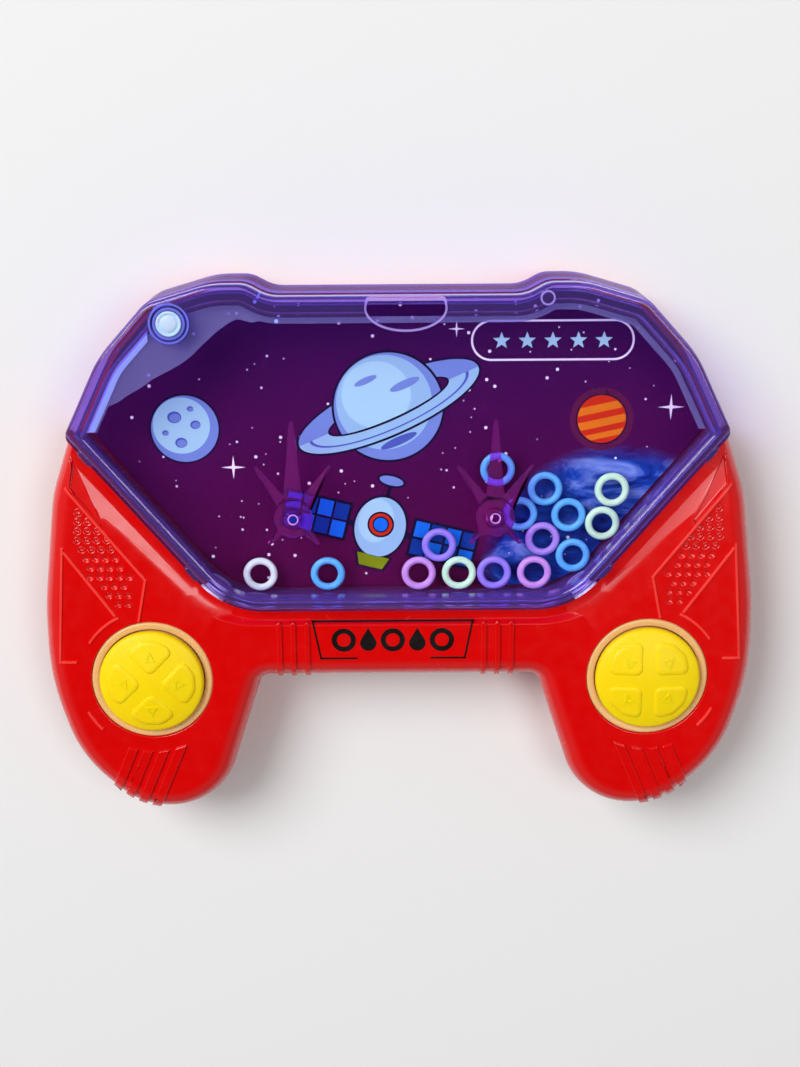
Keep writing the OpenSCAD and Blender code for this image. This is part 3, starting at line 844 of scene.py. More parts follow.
BLUE = RingColour("ring_blue", "#4A92CC")
GREEN = RingColour("ring_green", "#A8C8AE")
ORCHID = RingColour("ring_orchid", "#8A6EC0")
PURPLE = RingColour("ring_purple", "#7C66C8")
PINK = RingColour("ring_pink", "#A878BC")
WHITE = RingColour("ring_white", "#B6BCC0")


@dataclass
class Housing:
    """The red two-part shell, its printed emblem and its screws."""

    front_round: float = 4.5
    front_drop: float = 5.0
    back_round: float = 5.0
    gutter_z: float = 17.8
    gutter_w: float = 2.5
    screw_places: tuple[Point, ...] = ((66, -3), (50, -50.5), (20, -20))
    screw_seat: float = 2.6
    rib_groups: tuple[float, ...] = (-22.7, 21.0)
    rib_pitch: float = 2.95
    rib_w: float = 1.1
    rib_top: float = -14.9
    stripe_angle: float = -67.0
    stripe_first: float = -11.2
    stripe_pitch: float = 3.15
    stripe_w: float = 2.0
    stripe_r: float = 16.35
    stripe_reach: float = 38.0
    relief_h: float = 0.5
    relief_inset: float = 0.08
    line_h: float = 0.32
    line_w: float = 0.5
    skin_depth: float = 0.6
    chimney_wall: float = 1.7
    chimney_low: float = 16.2
    dimple_rows: tuple[int, ...] = (1, 2, 3, 4, 4, 4, 4, 5, 3, 3, 2)
    dimple_first: Point = (67.2, 10.1)
    dimple_step: Point = (-0.85, -2.04)
    dimple_pitch: float = 2.07
    dimple_depth: float = 0.42
    dimple_r: float = 0.88
    dimple_shrink: float = 0.03
    facet: tuple[tuple[float, float, float], ...] = ((68.0, 21.0, -1.5), (68.7, 15.2, -0.6), (62.2, 7.2, 0.02))
    post_r: float = 4.0
    post_top: float = 8.0
    seat_r: float = 2.7
    pilot_r: float = 1.45
    stamp_h: float = 0.05
    stamp_w: float = 0.4
    cross_half: Point = (1.4, 0.25)

    def build(self) -> None:
        """Builds the pieces of the housing."""
        self.front_shell().piece("front_shell_skin", RED_STYRENE, "housing", "red_shell", ["front_shell"], soften=0.2)
        self.ridges().piece("shell_ridges", RED_STYRENE, "housing", "red_shell", soften=0.2)
        # The panel lines take the paler red that paints their highlight.
        self.lines().piece("shell_lines_highlight", RED_HIGHLIGHT, "housing", "red_shell", soften=0.06)
        self.back_shell().piece("back_shell_skin", RED_STYRENE, "housing", "red_shell", ["back_shell"])
        self.emblem().piece("bridge_emblem", BLACK_STAMP, "housing", "red_shell")
        self.screws().piece("housing_screw_set", ZINC_STEEL, "housing", "screw_steel", ["housing_screws"], soften=0.1)

    def _skin(self, grown: float) -> Form:
        """Shell that follows the block's surface, from a depth below it up to a height above it."""
        return self._block(grown).cut(self._block(-self.skin_depth).shift(z=-0.001))

    def _block(self, grown: float = 0.0) -> Form:
        """Outer block of the front shell with its rounded edge, grown outward by a margin."""
        s = SIZES
        return Form().loft(BODY, [(s.parting_z, -grown), *crown(s.face_z + grown, self.front_round + grown,
                                                                self.front_drop + grown, -grown, steps=9)])

    def ridges(self) -> Form:
        """Builds the raised ribs beside the bridge's panel and the raised stripes on the grips."""
        s = SIZES
        half = self.rib_w / 2
        bars = Form()
        for x in (group + step * self.rib_pitch for group in self.rib_groups for step in (-1, 0, 1)):
            bars.plate([(x - half, s.bridge_y - 2), (x + half, s.bridge_y - 2), (x + half, self.rib_top),
                        (x, self.rib_top + half), (x - half, self.rib_top)], s.parting_z + 1, s.face_z + OVER)
        stripes = Form()
        for number in range(4):
            y = self.stripe_first + number * self.stripe_pitch - self.stripe_w / 2
            stripes.plate(box(0, y, self.stripe_reach, y + self.stripe_w), s.parting_z + 1, s.face_z + OVER)
        stripes.cut(Form().disc(self.stripe_r, 0, s.face_z + 2 * OVER))
        stripes.turn(self.stripe_angle).shift(s.button_x, s.button_y)
        inside = Form().prism(BODY, s.parting_z, s.face_z + OVER, self.relief_inset)
        return bars.join(stripes.both_sides()).common(self._skin(self.relief_h)).common(inside)

    def _line(self, points: Sequence[Point]) -> Form:
        """Thin upright wall along a few points of the right grip."""
        return Form().stroke(points, self.line_w, SIZES.parting_z + 2, SIZES.face_z + OVER)

    def _arc_line(self, radius: float, first: float, last: float) -> Form:
        """Thin upright wall round the right button.

        Args:
            radius: Radius of its middle.
            first: Angle of its start in degrees.
            last: Angle of its end.

        Returns:
            The wall as one plate.
        """
        steps, half = 16, self.line_w / 2
        angles = [math.radians(first + (last - first) * i / steps) for i in range(steps + 1)]
        rim = [(SIZES.button_x + reach * math.cos(a), SIZES.button_y + reach * math.sin(a))
               for reach, turn in ((radius + half, angles), (radius - half, angles[::-1])) for a in turn]
        return Form().plate(rim, SIZES.parting_z + 2, SIZES.face_z + OVER)

    def lines(self) -> Form:
        """Builds the thin raised lines that frame the grips' panels."""
        walls = Form().join(
            self._line([(69.6, 15.0), (53.8, -4.9), (55.6, -13.9)]),
            self._line([(70.7, 1.2), (60.7, -12.7)]),
            self._line([(71.1, 2.0), (72.9, -23.2), (69.5, -23.2)]),
            self._arc_line(15.6, 65, 33),
            self._arc_line(15.8, -45, -27),
        )
        return walls.both_sides().common(self._skin(self.line_h))

    def _dimples(self) -> Form:
        """Balls that press the field of small hollows into each grip's shoulder."""
        depth = self.dimple_depth
        balls = Form()
        for row, count in enumerate(self.dimple_rows):
            start = Vector(self.dimple_first) + Vector(self.dimple_step) * row
            radius = self.dimple_r - self.dimple_shrink * row
            ball = (radius ** 2 + depth ** 2) / (2 * depth)
            for i in range(count):
                x = start.x + (i - (count - 1) / 2) * self.dimple_pitch
                balls.ball(ball, (x, start.y, SIZES.face_z + ball - depth))
        return balls.both_sides()

    def front_shell(self) -> Form:
        """Builds the front shell.

        Returns:
            Rounded block, hollow below, with the tank's pocket, the gutter beside it, both wells and the relief.
        """
        s = SIZES
        shell = self._block()
        hollow = Form().loft(BODY, [(s.parting_z - OVER, s.wall), *crown(s.face_z - s.wall, 2.5, 3.0, s.wall)])
        hollow.cut(Form().prism(TANK, 0, s.face_z, -s.fit_gap - s.wall))
        shell.cut(hollow)
        for side in (-1, 1):
            shell.add(Form().disc(s.well_r + self.chimney_wall, self.chimney_low, s.face_z - 0.5,
                                  (side * s.button_x, s.button_y)))
        shell.cut(Form().prism(TANK, 0, s.face_z + OVER, -s.fit_gap))
        bevel = Outline.mirrored((Corner(s.tank_low_x + 3.4, s.tank_low_y - self.gutter_w - 0.8, 22),
                                  Corner(s.side_x - 11.5, 12, 30), Corner(s.side_x - 4.5, s.shoulder_y + 2, 0.5)))
        shell.cut(Form().hull(lambda mesh: TANK.face(mesh, self.gutter_z, 0, -self.gutter_w),
                              lambda mesh: bevel.face(mesh, s.face_z),
                              lambda mesh: bevel.face(mesh, s.face_z + 2)))
        facet = Form().hull(
            lambda mesh: mesh.faces.new([mesh.verts.new((x, y, s.face_z + z)) for x, y, z in self.facet]),
            lambda mesh: mesh.faces.new([mesh.verts.new((x, y, s.face_z + 2)) for x, y, _ in self.facet]))
        shell.cut(facet.both_sides())
        wells = Form().disc(s.well_r, s.parting_z - OVER, s.face_z + OVER, (s.button_x, s.button_y)).both_sides()
        return shell.cut(wells).cut(self._dimples())

    def back_shell(self) -> Form:
        """Builds the back shell.

        Returns:
            Rounded tray under the grips and the tank, hollow above, with the screws' counterbores.
        """
        s = SIZES
        shell = Form().loft(BODY, [*foot(0, self.back_round, 5.0, steps=9), (s.parting_z, 0.0)])
        shell.cut(Form().prism(TANK, -OVER, s.parting_z + OVER, -s.fit_gap))
        shell.add(Form().loft(TANK, foot(0, 3.0, s.skirt_z, 1.0, -6.0)))
        hollow = Form().loft(BODY, [*foot(s.wall, 3.0, 3.0, s.wall), (s.parting_z + OVER, s.wall)])
        hollow.cut(Form().prism(TANK, 0, s.parting_z + 2 * OVER, -s.fit_gap - s.wall))
        shell.cut(hollow)
        shell.cut(Form().prism(TANK, s.wall, s.skirt_z + OVER, 3.6, 1.9))
        posts, bores = Form(), Form()
        for at in self.screw_places:
            posts.disc(self.post_r, 1.0, self.post_top, at, segments=48)
            bores.disc(self.seat_r, -OVER, self.screw_seat, at, segments=48)
            bores.disc(self.pilot_r, 0, self.post_top + OVER, at, segments=32)
        return shell.add(posts.both_sides()).cut(bores.both_sides())

    def emblem(self) -> Form:
        """Builds the stamped panel on the bridge: an outlined trapezium round a row of rings and drops."""
        low, top = SIZES.face_z - self.stamp_h, SIZES.face_z + self.stamp_h
        mark = Form()
        for points in (((-18.5, -14.3), (15.7, -14.3)), ((-18.5, -14.3), (-16.8, -22.7), (-9.2, -22.7)),
                       ((15.7, -14.3), (14.0, -22.7), (6.9, -22.7))):
            mark.stroke(points, self.stamp_w, low, top)
        for x in (-11.9, -1.4, 9.1):
            mark.tube(2.6, 1.5, low, top, (x, -18.6), 64)
        for x in (-6.65, 3.85):
            drop = Form().disc(1.75, low, top, (x, -19.3), segments=48)
            tip = Form().plate([(x - 1.56, -18.5), (x + 1.56, -18.5), (x, -15.9)], low, top)
            mark.join(drop.add(tip))
        return mark

    def screws(self) -> Form:
        """Builds the six screws: a pan head with a cross recess on a plain shank."""
        s = self.screw_seat
        every = Form()
        for at in self.screw_places:
            screw = Form().lathe([(0, s - 1.6), (1.9, s - 1.6), (2.5, s - 1.0), (2.5, s), (1.25, s), (1.25, s + 11.2),
                                  (0.7, s + 12.0), (0, s + 12.0)], at, 48)
            (x, y), (arm, half) = at, self.cross_half
            cross = Form().plate(box(x - arm, y - half, x + arm, y + half), s - 2.6, s - 0.8)
            cross.plate(box(x - half, y - arm, x + half, y + arm), s - 2.6, s - 0.8)
            every.join(screw.cut(cross))
        return every.both_sides()


@dataclass
class Tank:
    """The tinted window moulding and what it holds: plug, plate, targets and the air under the window."""

    plug_at: Point = (-45.8, 50.2)
    boss_r: float = 4.4
    boss_rise: float = 0.4
    groove: Point = (3.75, 3.05)
    glint_ring_sizes: tuple[Point, ...] = ((3.25, 2.75), (4.1, 3.72))
    bore_r: float = 1.85
    pip_at: Point = (30.2, 54.9)
    pip_r: float = 1.6
    scoop_at: Point = (1.8, 52.9)
    scoop_half: Point = (8.4, 4.8)
    scoop_depth: float = 0.5
    nub_angle: float = 49.7
    pane_low_y: float = 27.0
    nub_places: tuple[Point, ...] = ((64.6, 22.0), (43.5, -2.9))
    target_places: tuple[tuple[str, Point], ...] = (("left", (-22.3, 7.5)), ("right", (20.5, 7.5)))
    blades: tuple[tuple[float, float, float, float], ...] = (
        (21.2, 4.8, 0.9, 0), (14.0, 3.4, 0.7, -35), (14.0, 3.4, 0.7, 35), (7.9, 3.0, 0.7, 136), (7.9, 3.0, 0.7, -136))

    def build(self) -> None:
        """Builds the pieces of the tank."""
        self.moulding().piece("tank_window", [WALL_STYRENE, PANE_STYRENE, SKIRT_STYRENE], "housing", "tank_tint",
                              ["tank_front"])
        redress("tank_back", CLEAR_STYRENE)
        for side, at in self.target_places:
            self.target(at).piece(f"{side}_ring_target", TARGET_STYRENE, "housing", "target_tint", [f"{side}_target"],
                                  soften=0.3)
        self.pin_glints().piece("target_pin_glints", PIN_GLINT_STYRENE, "housing", "tank_tint")
        self.plug().piece("filler_stopper", MILKY_VINYL, "plug", "plug_rubber", ["filler_plug"])
        self.air().piece("air_pocket", POCKET_AIR, "housing", "tank_tint")
        self.glint_strip().piece("rim_glint_strip", GLINT_AIR, "housing", "tank_tint")
        self.edges().piece("window_edge_highlights", HIGHLIGHT_STYRENE, "housing", "tank_tint")
        self.boss_glints().piece("boss_glint_rings", BOSS_GLINT_STYRENE, "housing", "tank_tint")

    def pin_glints(self) -> Form:
        """Builds the pale ring round the pin in each target's eyelet: a painted highlight."""
        top = SIZES.target_z + SIZES.target_t
        rims = Form()
        for _, at in self.target_places:
            rims.join(Form().tube(1.15, 0.9, top - 0.1, top + 0.06, segments=48).shift(*at))
        return rims

    def boss_glints(self) -> Form:
        """Builds two pale rings on top of the filler boss: painted glints on its face."""
        rings = Form()
        for outer, inner in self.glint_ring_sizes:
            rings.tube(outer, inner, SIZES.rim_top + 0.38, SIZES.rim_top + 0.46, self.plug_at)
        return rings

    def moulding(self) -> Form:
        """Builds the window moulding.

        Returns:
            Skirt with a ledge, window pane inside a rounded rim, boss with groove and bore, pip and scoop.
        """
        s = SIZES
        boss_top = s.rim_top + self.boss_rise
        outer = Form().prism(TANK, s.skirt_z, s.ledge_z)
        outer.add(Form().loft(TANK, [(s.ledge_z - 0.5, 0.2, s.ledge_w), *crown(s.rim_top, 0.9, 0.8, 0.2, s.ledge_w)]))
        outer.cut(Form().loft(TANK, [*foot(s.pane_top, 1.2, 0.8, 3.3, s.ledge_w + 1.4),
                                     (s.rim_top + OVER, 3.3, s.ledge_w + 1.4)]))
        outer.add(Form().disc(self.boss_r, s.pane_z, boss_top, self.plug_at).round_rim(boss_top, 0.5)
                  .join(Form().disc(self.pip_r, s.pane_z, boss_top, self.pip_at, 48).round_rim(boss_top, 0.4)))
        cavity = Form().prism(TANK, s.skirt_z - OVER, s.ledge_z - 1.2, s.tank_wall)
        cavity.add(Form().prism(TANK, s.ledge_z - 1.4, s.pane_z, s.tank_wall + 0.4, s.tank_wall + s.ledge_w))
        outer.cut(cavity)
        outer.add(self._nubs())
        outer.cut(Form().plate(self._scoop(0.0), s.pane_top - self.scoop_depth, s.rim_top + 2))
        outer.cut(Form().tube(*self.groove, s.rim_top - 0.1, s.rim_top + 2, self.plug_at))
        outer.cut(Form().disc(self.bore_r, s.pane_z - OVER, s.rim_top + 2, self.plug_at, segments=48))
        self._share_out(outer)
        return outer

    def _share_out(self, moulding: Form) -> None:
        """Numbers the moulding's faces: 0 for its walls, 1 for the clear window and 2 for the skirt's outside.

        Args:
            moulding: The moulding whose faces get their material number.
        """
        s = SIZES
        inside = Vector((0, 20, 0))
        for face in moulding.mesh.faces:
            level = {round(v.co.z, 2) for v in face.verts}
            face.material_index = int(level in ({s.pane_top}, {s.pane_z}, {s.pane_top - self.scoop_depth}))
            middle = face.calc_center_median()
            outward = abs(face.normal.z) < 0.3 and face.normal.dot(middle - inside) > 0
            if middle.y < self.pane_low_y:
                face.material_index = max(face.material_index, int(level == {s.ledge_z}))
            elif middle.z < s.ledge_z - 0.3 and outward:
                face.material_index = 2

    def _scoop(self, inset: float) -> list[Point]:
        """Outline of the scoop in the window's far edge: half an ellipse under a flat top with round corners."""
        (x, y), (half_w, half_h) = self.scoop_at, self.scoop_half
        low = [(x + (half_w - inset) * math.cos(math.radians(a)), y + (half_h - inset) * math.sin(math.radians(a)))
               for a in range(180, 361, 6)]
        high = y + 2.6 - inset
        corner = ((0.15, 1.2), (0.6, 0.35), (1.4, 0.0))
        right = [(x + half_w - back - inset, high - down) for back, down in corner]
        left = [(x - half_w + back + inset, high - down) for back, down in reversed(corner)]
        return [*low, *right, *left]

    def edges(self) -> Form:
        """Builds the pale line of painted highlight round the scoop and the pale ring of painted highlight round the
        pip.
        """
        low, top = SIZES.pane_top - 0.45, SIZES.pane_top + 0.1
        line = Form().plate(self._scoop(0.03), low, top).cut(Form().plate(self._scoop(0.42), low - OVER, top + OVER))
        top = SIZES.rim_top + self.boss_rise
        return line.tube(1.5, 1.15, top - 0.05, top + 0.06, self.pip_at, 48)

    def _nubs(self) -> Form:
        """Rounded nubs that stand on the ledge beside the lower diagonals of the rim."""
        nubs = Form()
        for x, y in self.nub_places:
            pad = Outline(tuple(Corner(*c, 0.7) for c in box(-2.0, -0.75, 2.0, 0.75)), split_y=-99)
            nub = Form().loft(pad, [(SIZES.ledge_z - 0.3, 0.0), *crown(SIZES.ledge_z + 2.2, 0.5, 0.5)])
            nubs.join(nub.turn(self.nub_angle).shift(x, y))
        return nubs.both_sides()

    def target(self, at: Point) -> Form:
        """Builds one target.

        Args:
            at: Centre of its hub.

        Returns:
            Hub with an eyelet, one long needle, two side arms and two short legs.
        """
        low, top = SIZES.target_z, SIZES.target_z + SIZES.target_t
        hub = Form().disc(4.1, low, top, segments=64)
        for length, root, tip, angle in self.blades:
            blade = Form().plate([(-root / 2, 0), (root / 2, 0), (tip / 2, length - tip / 2), (0, length),
                                  (-tip / 2, length - tip / 2)], low + 0.2, top - 0.2)
            hub.add(blade.turn(angle))
        hub.cut(Form().disc(1.15, low - OVER, top + OVER, segments=48))
        hub.cut(Form().tube(2.4, 1.9, top - 0.3, top + OVER, segments=64))
        return hub.shift(*at)

    def plug(self) -> Form:
        """Builds the stopper: a head with a raised button inside its rim, on a round stem."""
        low, top = SIZES.pane_z, SIZES.rim_top + self.boss_rise
        head = ((1.8, 0.0), (2.55, 0.0), (2.6, 0.2), (2.5, 0.42), (2.3, 0.48), (2.1, 0.42), (2.0, 0.25), (1.75, 0.22),
                (1.6, 0.4), (1.35, 0.5), (0, 0.5))
        return Form().lathe([(0, low - 1.5), (1.5, low - 1.5), (1.8, low - 1.1), *((r, top + z) for r, z in head)],
                            self.plug_at)

    def air(self) -> Form:
        """Builds the air under the window: a ragged pocket at the upper left and a thin band along the far rim."""
        top, low = SIZES.pane_z - 0.05, SIZES.pane_z - 0.35
        ragged = (
            (-66.5, 24.6), (-61.7, 30.6), (-59.1, 33.0), (-57.0, 33.9), (-54.9, 35.4), (-52.6, 36.6), (-49.8, 38.6),
            (-47.6, 39.7), (-44.2, 41.5), (-41.4, 43.6), (-39.7, 45.3), (-37.5, 47.3), (-35.8, 48.7), (-33.7, 50.1),
            (-32.2, 50.7), (-29.3, 49.9), (-27.5, 50.4), (-27.0, 55.0), (-34.0, 60.0), (-60.0, 60.0), (-78.0, 40.0))
        pocket = Form().prism(Outline(tuple(Corner(x, y, 1.0) for x, y in ragged), split_y=-99), low, top)
        band = Form().prism(TANK, low, top, 4.6).cut(Form().prism(TANK, low - OVER, top + OVER, 5.9))
        band.cut(Form().plate(box(-80, -20, 80, 27.5), low - OVER, top + OVER))
        return pocket.common(Form().prism(TANK, low - OVER, top + OVER, 4.6)).add(band)

    def glint_strip(self) -> Form:
        """Builds the pale strip of painted glint along the upper left wall and four small pale spots beside the left
        hump.
        """
        top, low = SIZES.pane_z - 0.02, SIZES.pane_z - 0.4
        glint_strip = Form().prism(TANK, low, top, 3.9).cut(Form().prism(TANK, low - OVER, top + OVER, 5.5))
        glint_strip.common(Form().plate(box(-80, 27.6, -50.6, 49.0), low - OVER, top + OVER))
        for x, y, wide in ((-24.4, 50.2, 0.4), (-23.9, 51.4, 0.3), (-28.6, 54.2, 0.35), (-28.0, 55.1, 0.3)):
            glint_strip.join(Form().disc(wide, low, top, (x, y), segments=24))
        return glint_strip


class Ink(Enum):
    """Inks of the card's picture."""

    LINE = "#110626"
    WHITE = "#8CACBC"
    PALE = "#7C9BB6"
    SHADE = "#5F6FA8"
    DEEP = "#404A90"
    BLUE = "#0F56B8"
    NAVY = "#092B78"
    RED = "#A6200F"
    ORANGE = "#B85C12"
    OLIVE = "#677008"
    GLOW = "#4A0E34"
    STAR = "#CDBDD0"

    @property
    def finish(self) -> Moulded:
        """Printing ink, matt and slightly uneven."""
        return Moulded(f"ink_{self.name.lower()}", self.value, 0.6, drift=self.value, shine=0.05, grain_depth=0.003)


@dataclass
class Picture:
    """The printed card with its motifs, each a thin film of ink."""

    base: float = 7.84
    film: float = 0.012
    inks: list[Ink] = field(default_factory=lambda: list(Ink))

    @property
    def thick(self) -> float:
        """Thickness of one layer of ink."""
        return self.film * 0.9

    def build(self) -> None:
        """Builds the card and its inks."""
        s = SIZES
        Form().prism(TANK, s.card_z, self.base, s.tank_wall + 0.4).piece(
            "sky_card", CARD_PRINT, "housing", "picture_print", ["picture_card"])
        self.art = Form()
        self.ringed_planet((-2.0, 30.0))
        self.satellite((-4.0, 3.5))
        self.moon((-45.5, 25.5), 7.2)
        self.small_planet((43.5, 27.0), 5.2)
        for at, size in (((-35.4, 17.0), 2.6), ((58.2, 29.5), 2.8), ((12.5, 46.5), 1.8)):
            self.sparkle(at, size)
        self.label((32.8, 44.0), 34.5, 8.7)
        self.stars()
        self.art.piece("card_inks", [ink.finish for ink in self.inks], "housing", "picture_print")

    def _film(self, shape: Form, ink: Ink, level: int, at: Point = (0.0, 0.0), angle: float = 0.0) -> None:
        """Lays a flat shape on the card.

        Args:
            shape: Flat shape round its own middle, from height 0 up.
            ink: Ink that it is printed in.
            level: Layer on the card, from 0 up.
            at: Place of its middle.
            angle: Turn about its middle.
        """
        shape.turn(angle).shift(*at, self.base + level * self.film)
        for face in shape.mesh.faces:
            face.material_index = self.inks.index(ink)
        self.art.join(shape)

    def _oval(self, ink: Ink, level: int, at: Point, wide: float, tall: float, angle: float = 0.0) -> None:
        """Prints a filled oval, given by its half widths."""
        self._film(Form().disc(1.0, 0, self.thick, segments=72).stretch(wide, tall), ink, level, at, angle)

    def _shape(self, ink: Ink, level: int, points: Sequence[Point], at: Point, angle: float = 0.0) -> None:
        """Prints a filled polygon."""
        self._film(Form().plate(points, 0, self.thick), ink, level, at, angle)

    def _band(self, ink: Ink, level: int, at: Point, outer: Point, inner: Point, angle: float,
              near_half: bool = False) -> None:
        """Prints an oval band.

        Args:
            ink: Ink that it is printed in.
            level: Layer on the card, from 0 up.
            at: Place of its middle.
            outer: Half widths of its outer edge.
            inner: Half widths of its hole.
            angle: Turn about its middle.
            near_half: Whether only the half below its middle is printed.
        """
        ring = Form().disc(1.0, 0, self.thick).stretch(*outer).cut(Form().disc(1.0, -OVER, OVER).stretch(*inner))
        if near_half:
            ring.cut(Form().plate(box(-40, 0, 40, 40), -OVER, OVER))
        self._film(ring, ink, level, at, angle)

    def ringed_planet(self, at: Point) -> None:
        """Prints a pale planet with a tilted ring."""
        x, y = at
        tilt = 24.0
        self._band(Ink.LINE, 0, at, (21.4, 6.5), (13.6, 2.6), tilt)
        self._band(Ink.SHADE, 1, at, (20.9, 6.0), (14.1, 3.1), tilt)
        self._oval(Ink.LINE, 2, at, 12.1, 12.1)
        self._oval(Ink.SHADE, 3, at, 11.6, 11.6)
        self._oval(Ink.PALE, 4, (x - 0.9, y + 0.9), 10.2, 10.2)
        self._oval(Ink.WHITE, 5, (x - 2.6, y + 2.6), 7.4, 7.2)
        self._oval(Ink.SHADE, 6, (x + 3.5, y + 4.8), 3.4, 0.9, tilt)
        self._oval(Ink.SHADE, 6, (x - 4.8, y + 5.6), 2.6, 0.7, tilt)
        self._oval(Ink.DEEP, 6, (x + 2.2, y - 7.4), 4.2, 0.9, tilt)
        self._band(Ink.LINE, 7, at, (21.4, 6.5), (13.6, 2.6), tilt, near_half=True)
        self._band(Ink.PALE, 8, at, (20.9, 6.0), (14.1, 3.1), tilt, near_half=True)
        self._band(Ink.DEEP, 9, at, (18.6, 5.0), (17.9, 4.7), tilt, near_half=True)

    def satellite(self, at: Point) -> None:
        """Prints a small satellite with two blue panels and a dish."""
        x, y = at
        tilt = -14.0
        turn = Matrix.Rotation(math.radians(tilt), 2)

        def spot(dx: float, dy: float) -> Point:
            """Place on the turned satellite."""
            moved = turn @ Vector((dx, dy))
            return (x + moved.x, y + moved.y)

        self._shape(Ink.LINE, 0, box(-19, -1.2, 19, 0.2), at, tilt)
        for side in (-1, 1):
            middle = spot(side * 14.2, -0.5)
            self._shape(Ink.LINE, 1, box(-7.4, -4.4, 7.4, 4.4), middle, tilt)
            for column in range(4):
                for row in range(2):
                    cell = spot(side * 14.2 - 5.25 + column * 3.5, -0.5 - 2.0 + row * 4.0)
                    ink = Ink.BLUE if (column + row) % 2 else Ink.NAVY
                    self._shape(ink, 2, box(-1.5, -1.75, 1.5, 1.75), cell, tilt)
        self._oval(Ink.LINE, 3, at, 6.0, 7.2, tilt)
        self._oval(Ink.PALE, 4, at, 5.5, 6.7, tilt)
        self._oval(Ink.WHITE, 5, spot(-1.2, 1.2), 3.8, 4.9, tilt)
        for level, (ink, radius) in enumerate(((Ink.LINE, 2.9), (Ink.RED, 2.5), (Ink.LINE, 1.8), (Ink.BLUE, 1.5)), 6):
            self._oval(ink, level, spot(0, 0.6), radius, radius)
        self._shape(Ink.LINE, 3, [(-4.2, -6.2), (4.2, -6.2), (3.0, -9.6), (-3.0, -9.6)], at, tilt)
        self._shape(Ink.OLIVE, 4, [(-3.6, -6.5), (3.6, -6.5), (2.6, -9.2), (-2.6, -9.2)], at, tilt)
        self._shape(Ink.LINE, 3, box(-0.4, 6.5, 0.4, 10.4), at, tilt)
        self._oval(Ink.LINE, 4, spot(0, 10.6), 3.1, 1.5, tilt)
        self._oval(Ink.SHADE, 5, spot(0, 10.6), 2.6, 1.0, tilt)

    def moon(self, at: Point, radius: float) -> None:
        """Prints a cratered moon."""
        x, y = at
        self._oval(Ink.LINE, 0, at, radius + 0.4, radius + 0.4)
        self._oval(Ink.SHADE, 1, at, radius, radius)
        self._oval(Ink.WHITE, 2, (x - 0.7, y + 0.7), radius - 1.1, radius - 1.1)
        craters = ((-0.30, 0.35, 1.5), (0.32, 0.12, 1.1), (-0.12, -0.42, 1.3), (-0.58, -0.12, 0.7), (0.18, 0.60, 0.7))
        for dx, dy, size in craters:
            self._oval(Ink.DEEP, 3, (x + dx * radius, y + dy * radius), size, size * 0.85)
            self._oval(Ink.SHADE, 4, (x + dx * radius + 0.15, y + dy * radius - 0.15), size * 0.8, size * 0.65)

    def small_planet(self, at: Point, radius: float) -> None:
        """Prints a small banded planet in warm colours inside a faint glow."""
        self._oval(Ink.GLOW, 0, at, radius + 1.6, radius + 1.6)
        self._oval(Ink.LINE, 1, at, radius + 0.3, radius + 0.3)
        self._oval(Ink.RED, 2, at, radius, radius)
        for low, high in ((0.30, 0.62), (-0.30, 0.02), (-0.78, -0.55)):
            band = Form().disc(radius * 0.98, 0, self.thick, segments=72)
            band.common(Form().plate(box(-radius * 2, low * radius, radius * 2, high * radius), -OVER, OVER))
            self._film(band, Ink.ORANGE, 3, at, 12.0)

    def sparkle(self, at: Point, size: float) -> None:
        """Prints a four-pointed sparkle."""
        self._shape(Ink.STAR, 0, star(4, size, size * 0.16), at)

    def label(self, at: Point, width: float, height: float) -> None:
        """Prints an empty label frame with a row of plain stars."""
        x, y = at
        line_w, pitch = 0.42, 5.4
        half_w, half_h = width / 2, height / 2
        corners = ((half_w, -half_h), (half_w, half_h), (-half_w, half_h), (-half_w, -half_h))
        pill = Outline(tuple(Corner(*c, half_h - 0.05) for c in corners), split_y=-99)
        self._film(Form().prism(pill, 0, self.thick).cut(Form().prism(pill, -OVER, OVER, line_w)), Ink.STAR, 0, at)
        for i in range(-2, 3):
            self._shape(Ink.WHITE, 0, star(5, 1.9, 0.8, math.pi / 2), (x + i * pitch, y - 0.1))

    def stars(self) -> None:
        """Prints a scatter of tiny stars."""
        draw = random.Random(7)
        for _ in range(190):
            x, y = draw.uniform(-60, 60), draw.uniform(-8, 53)
            if abs(x) > 36 + (y + 9) * 0.72 or (abs(x) > 52 and y > 44):
                continue
            size = draw.choice((0.14, 0.18, 0.26, 0.36))
            self._film(Form().disc(size, 0, self.thick, segments=8), Ink.STAR, 0, (x, y))


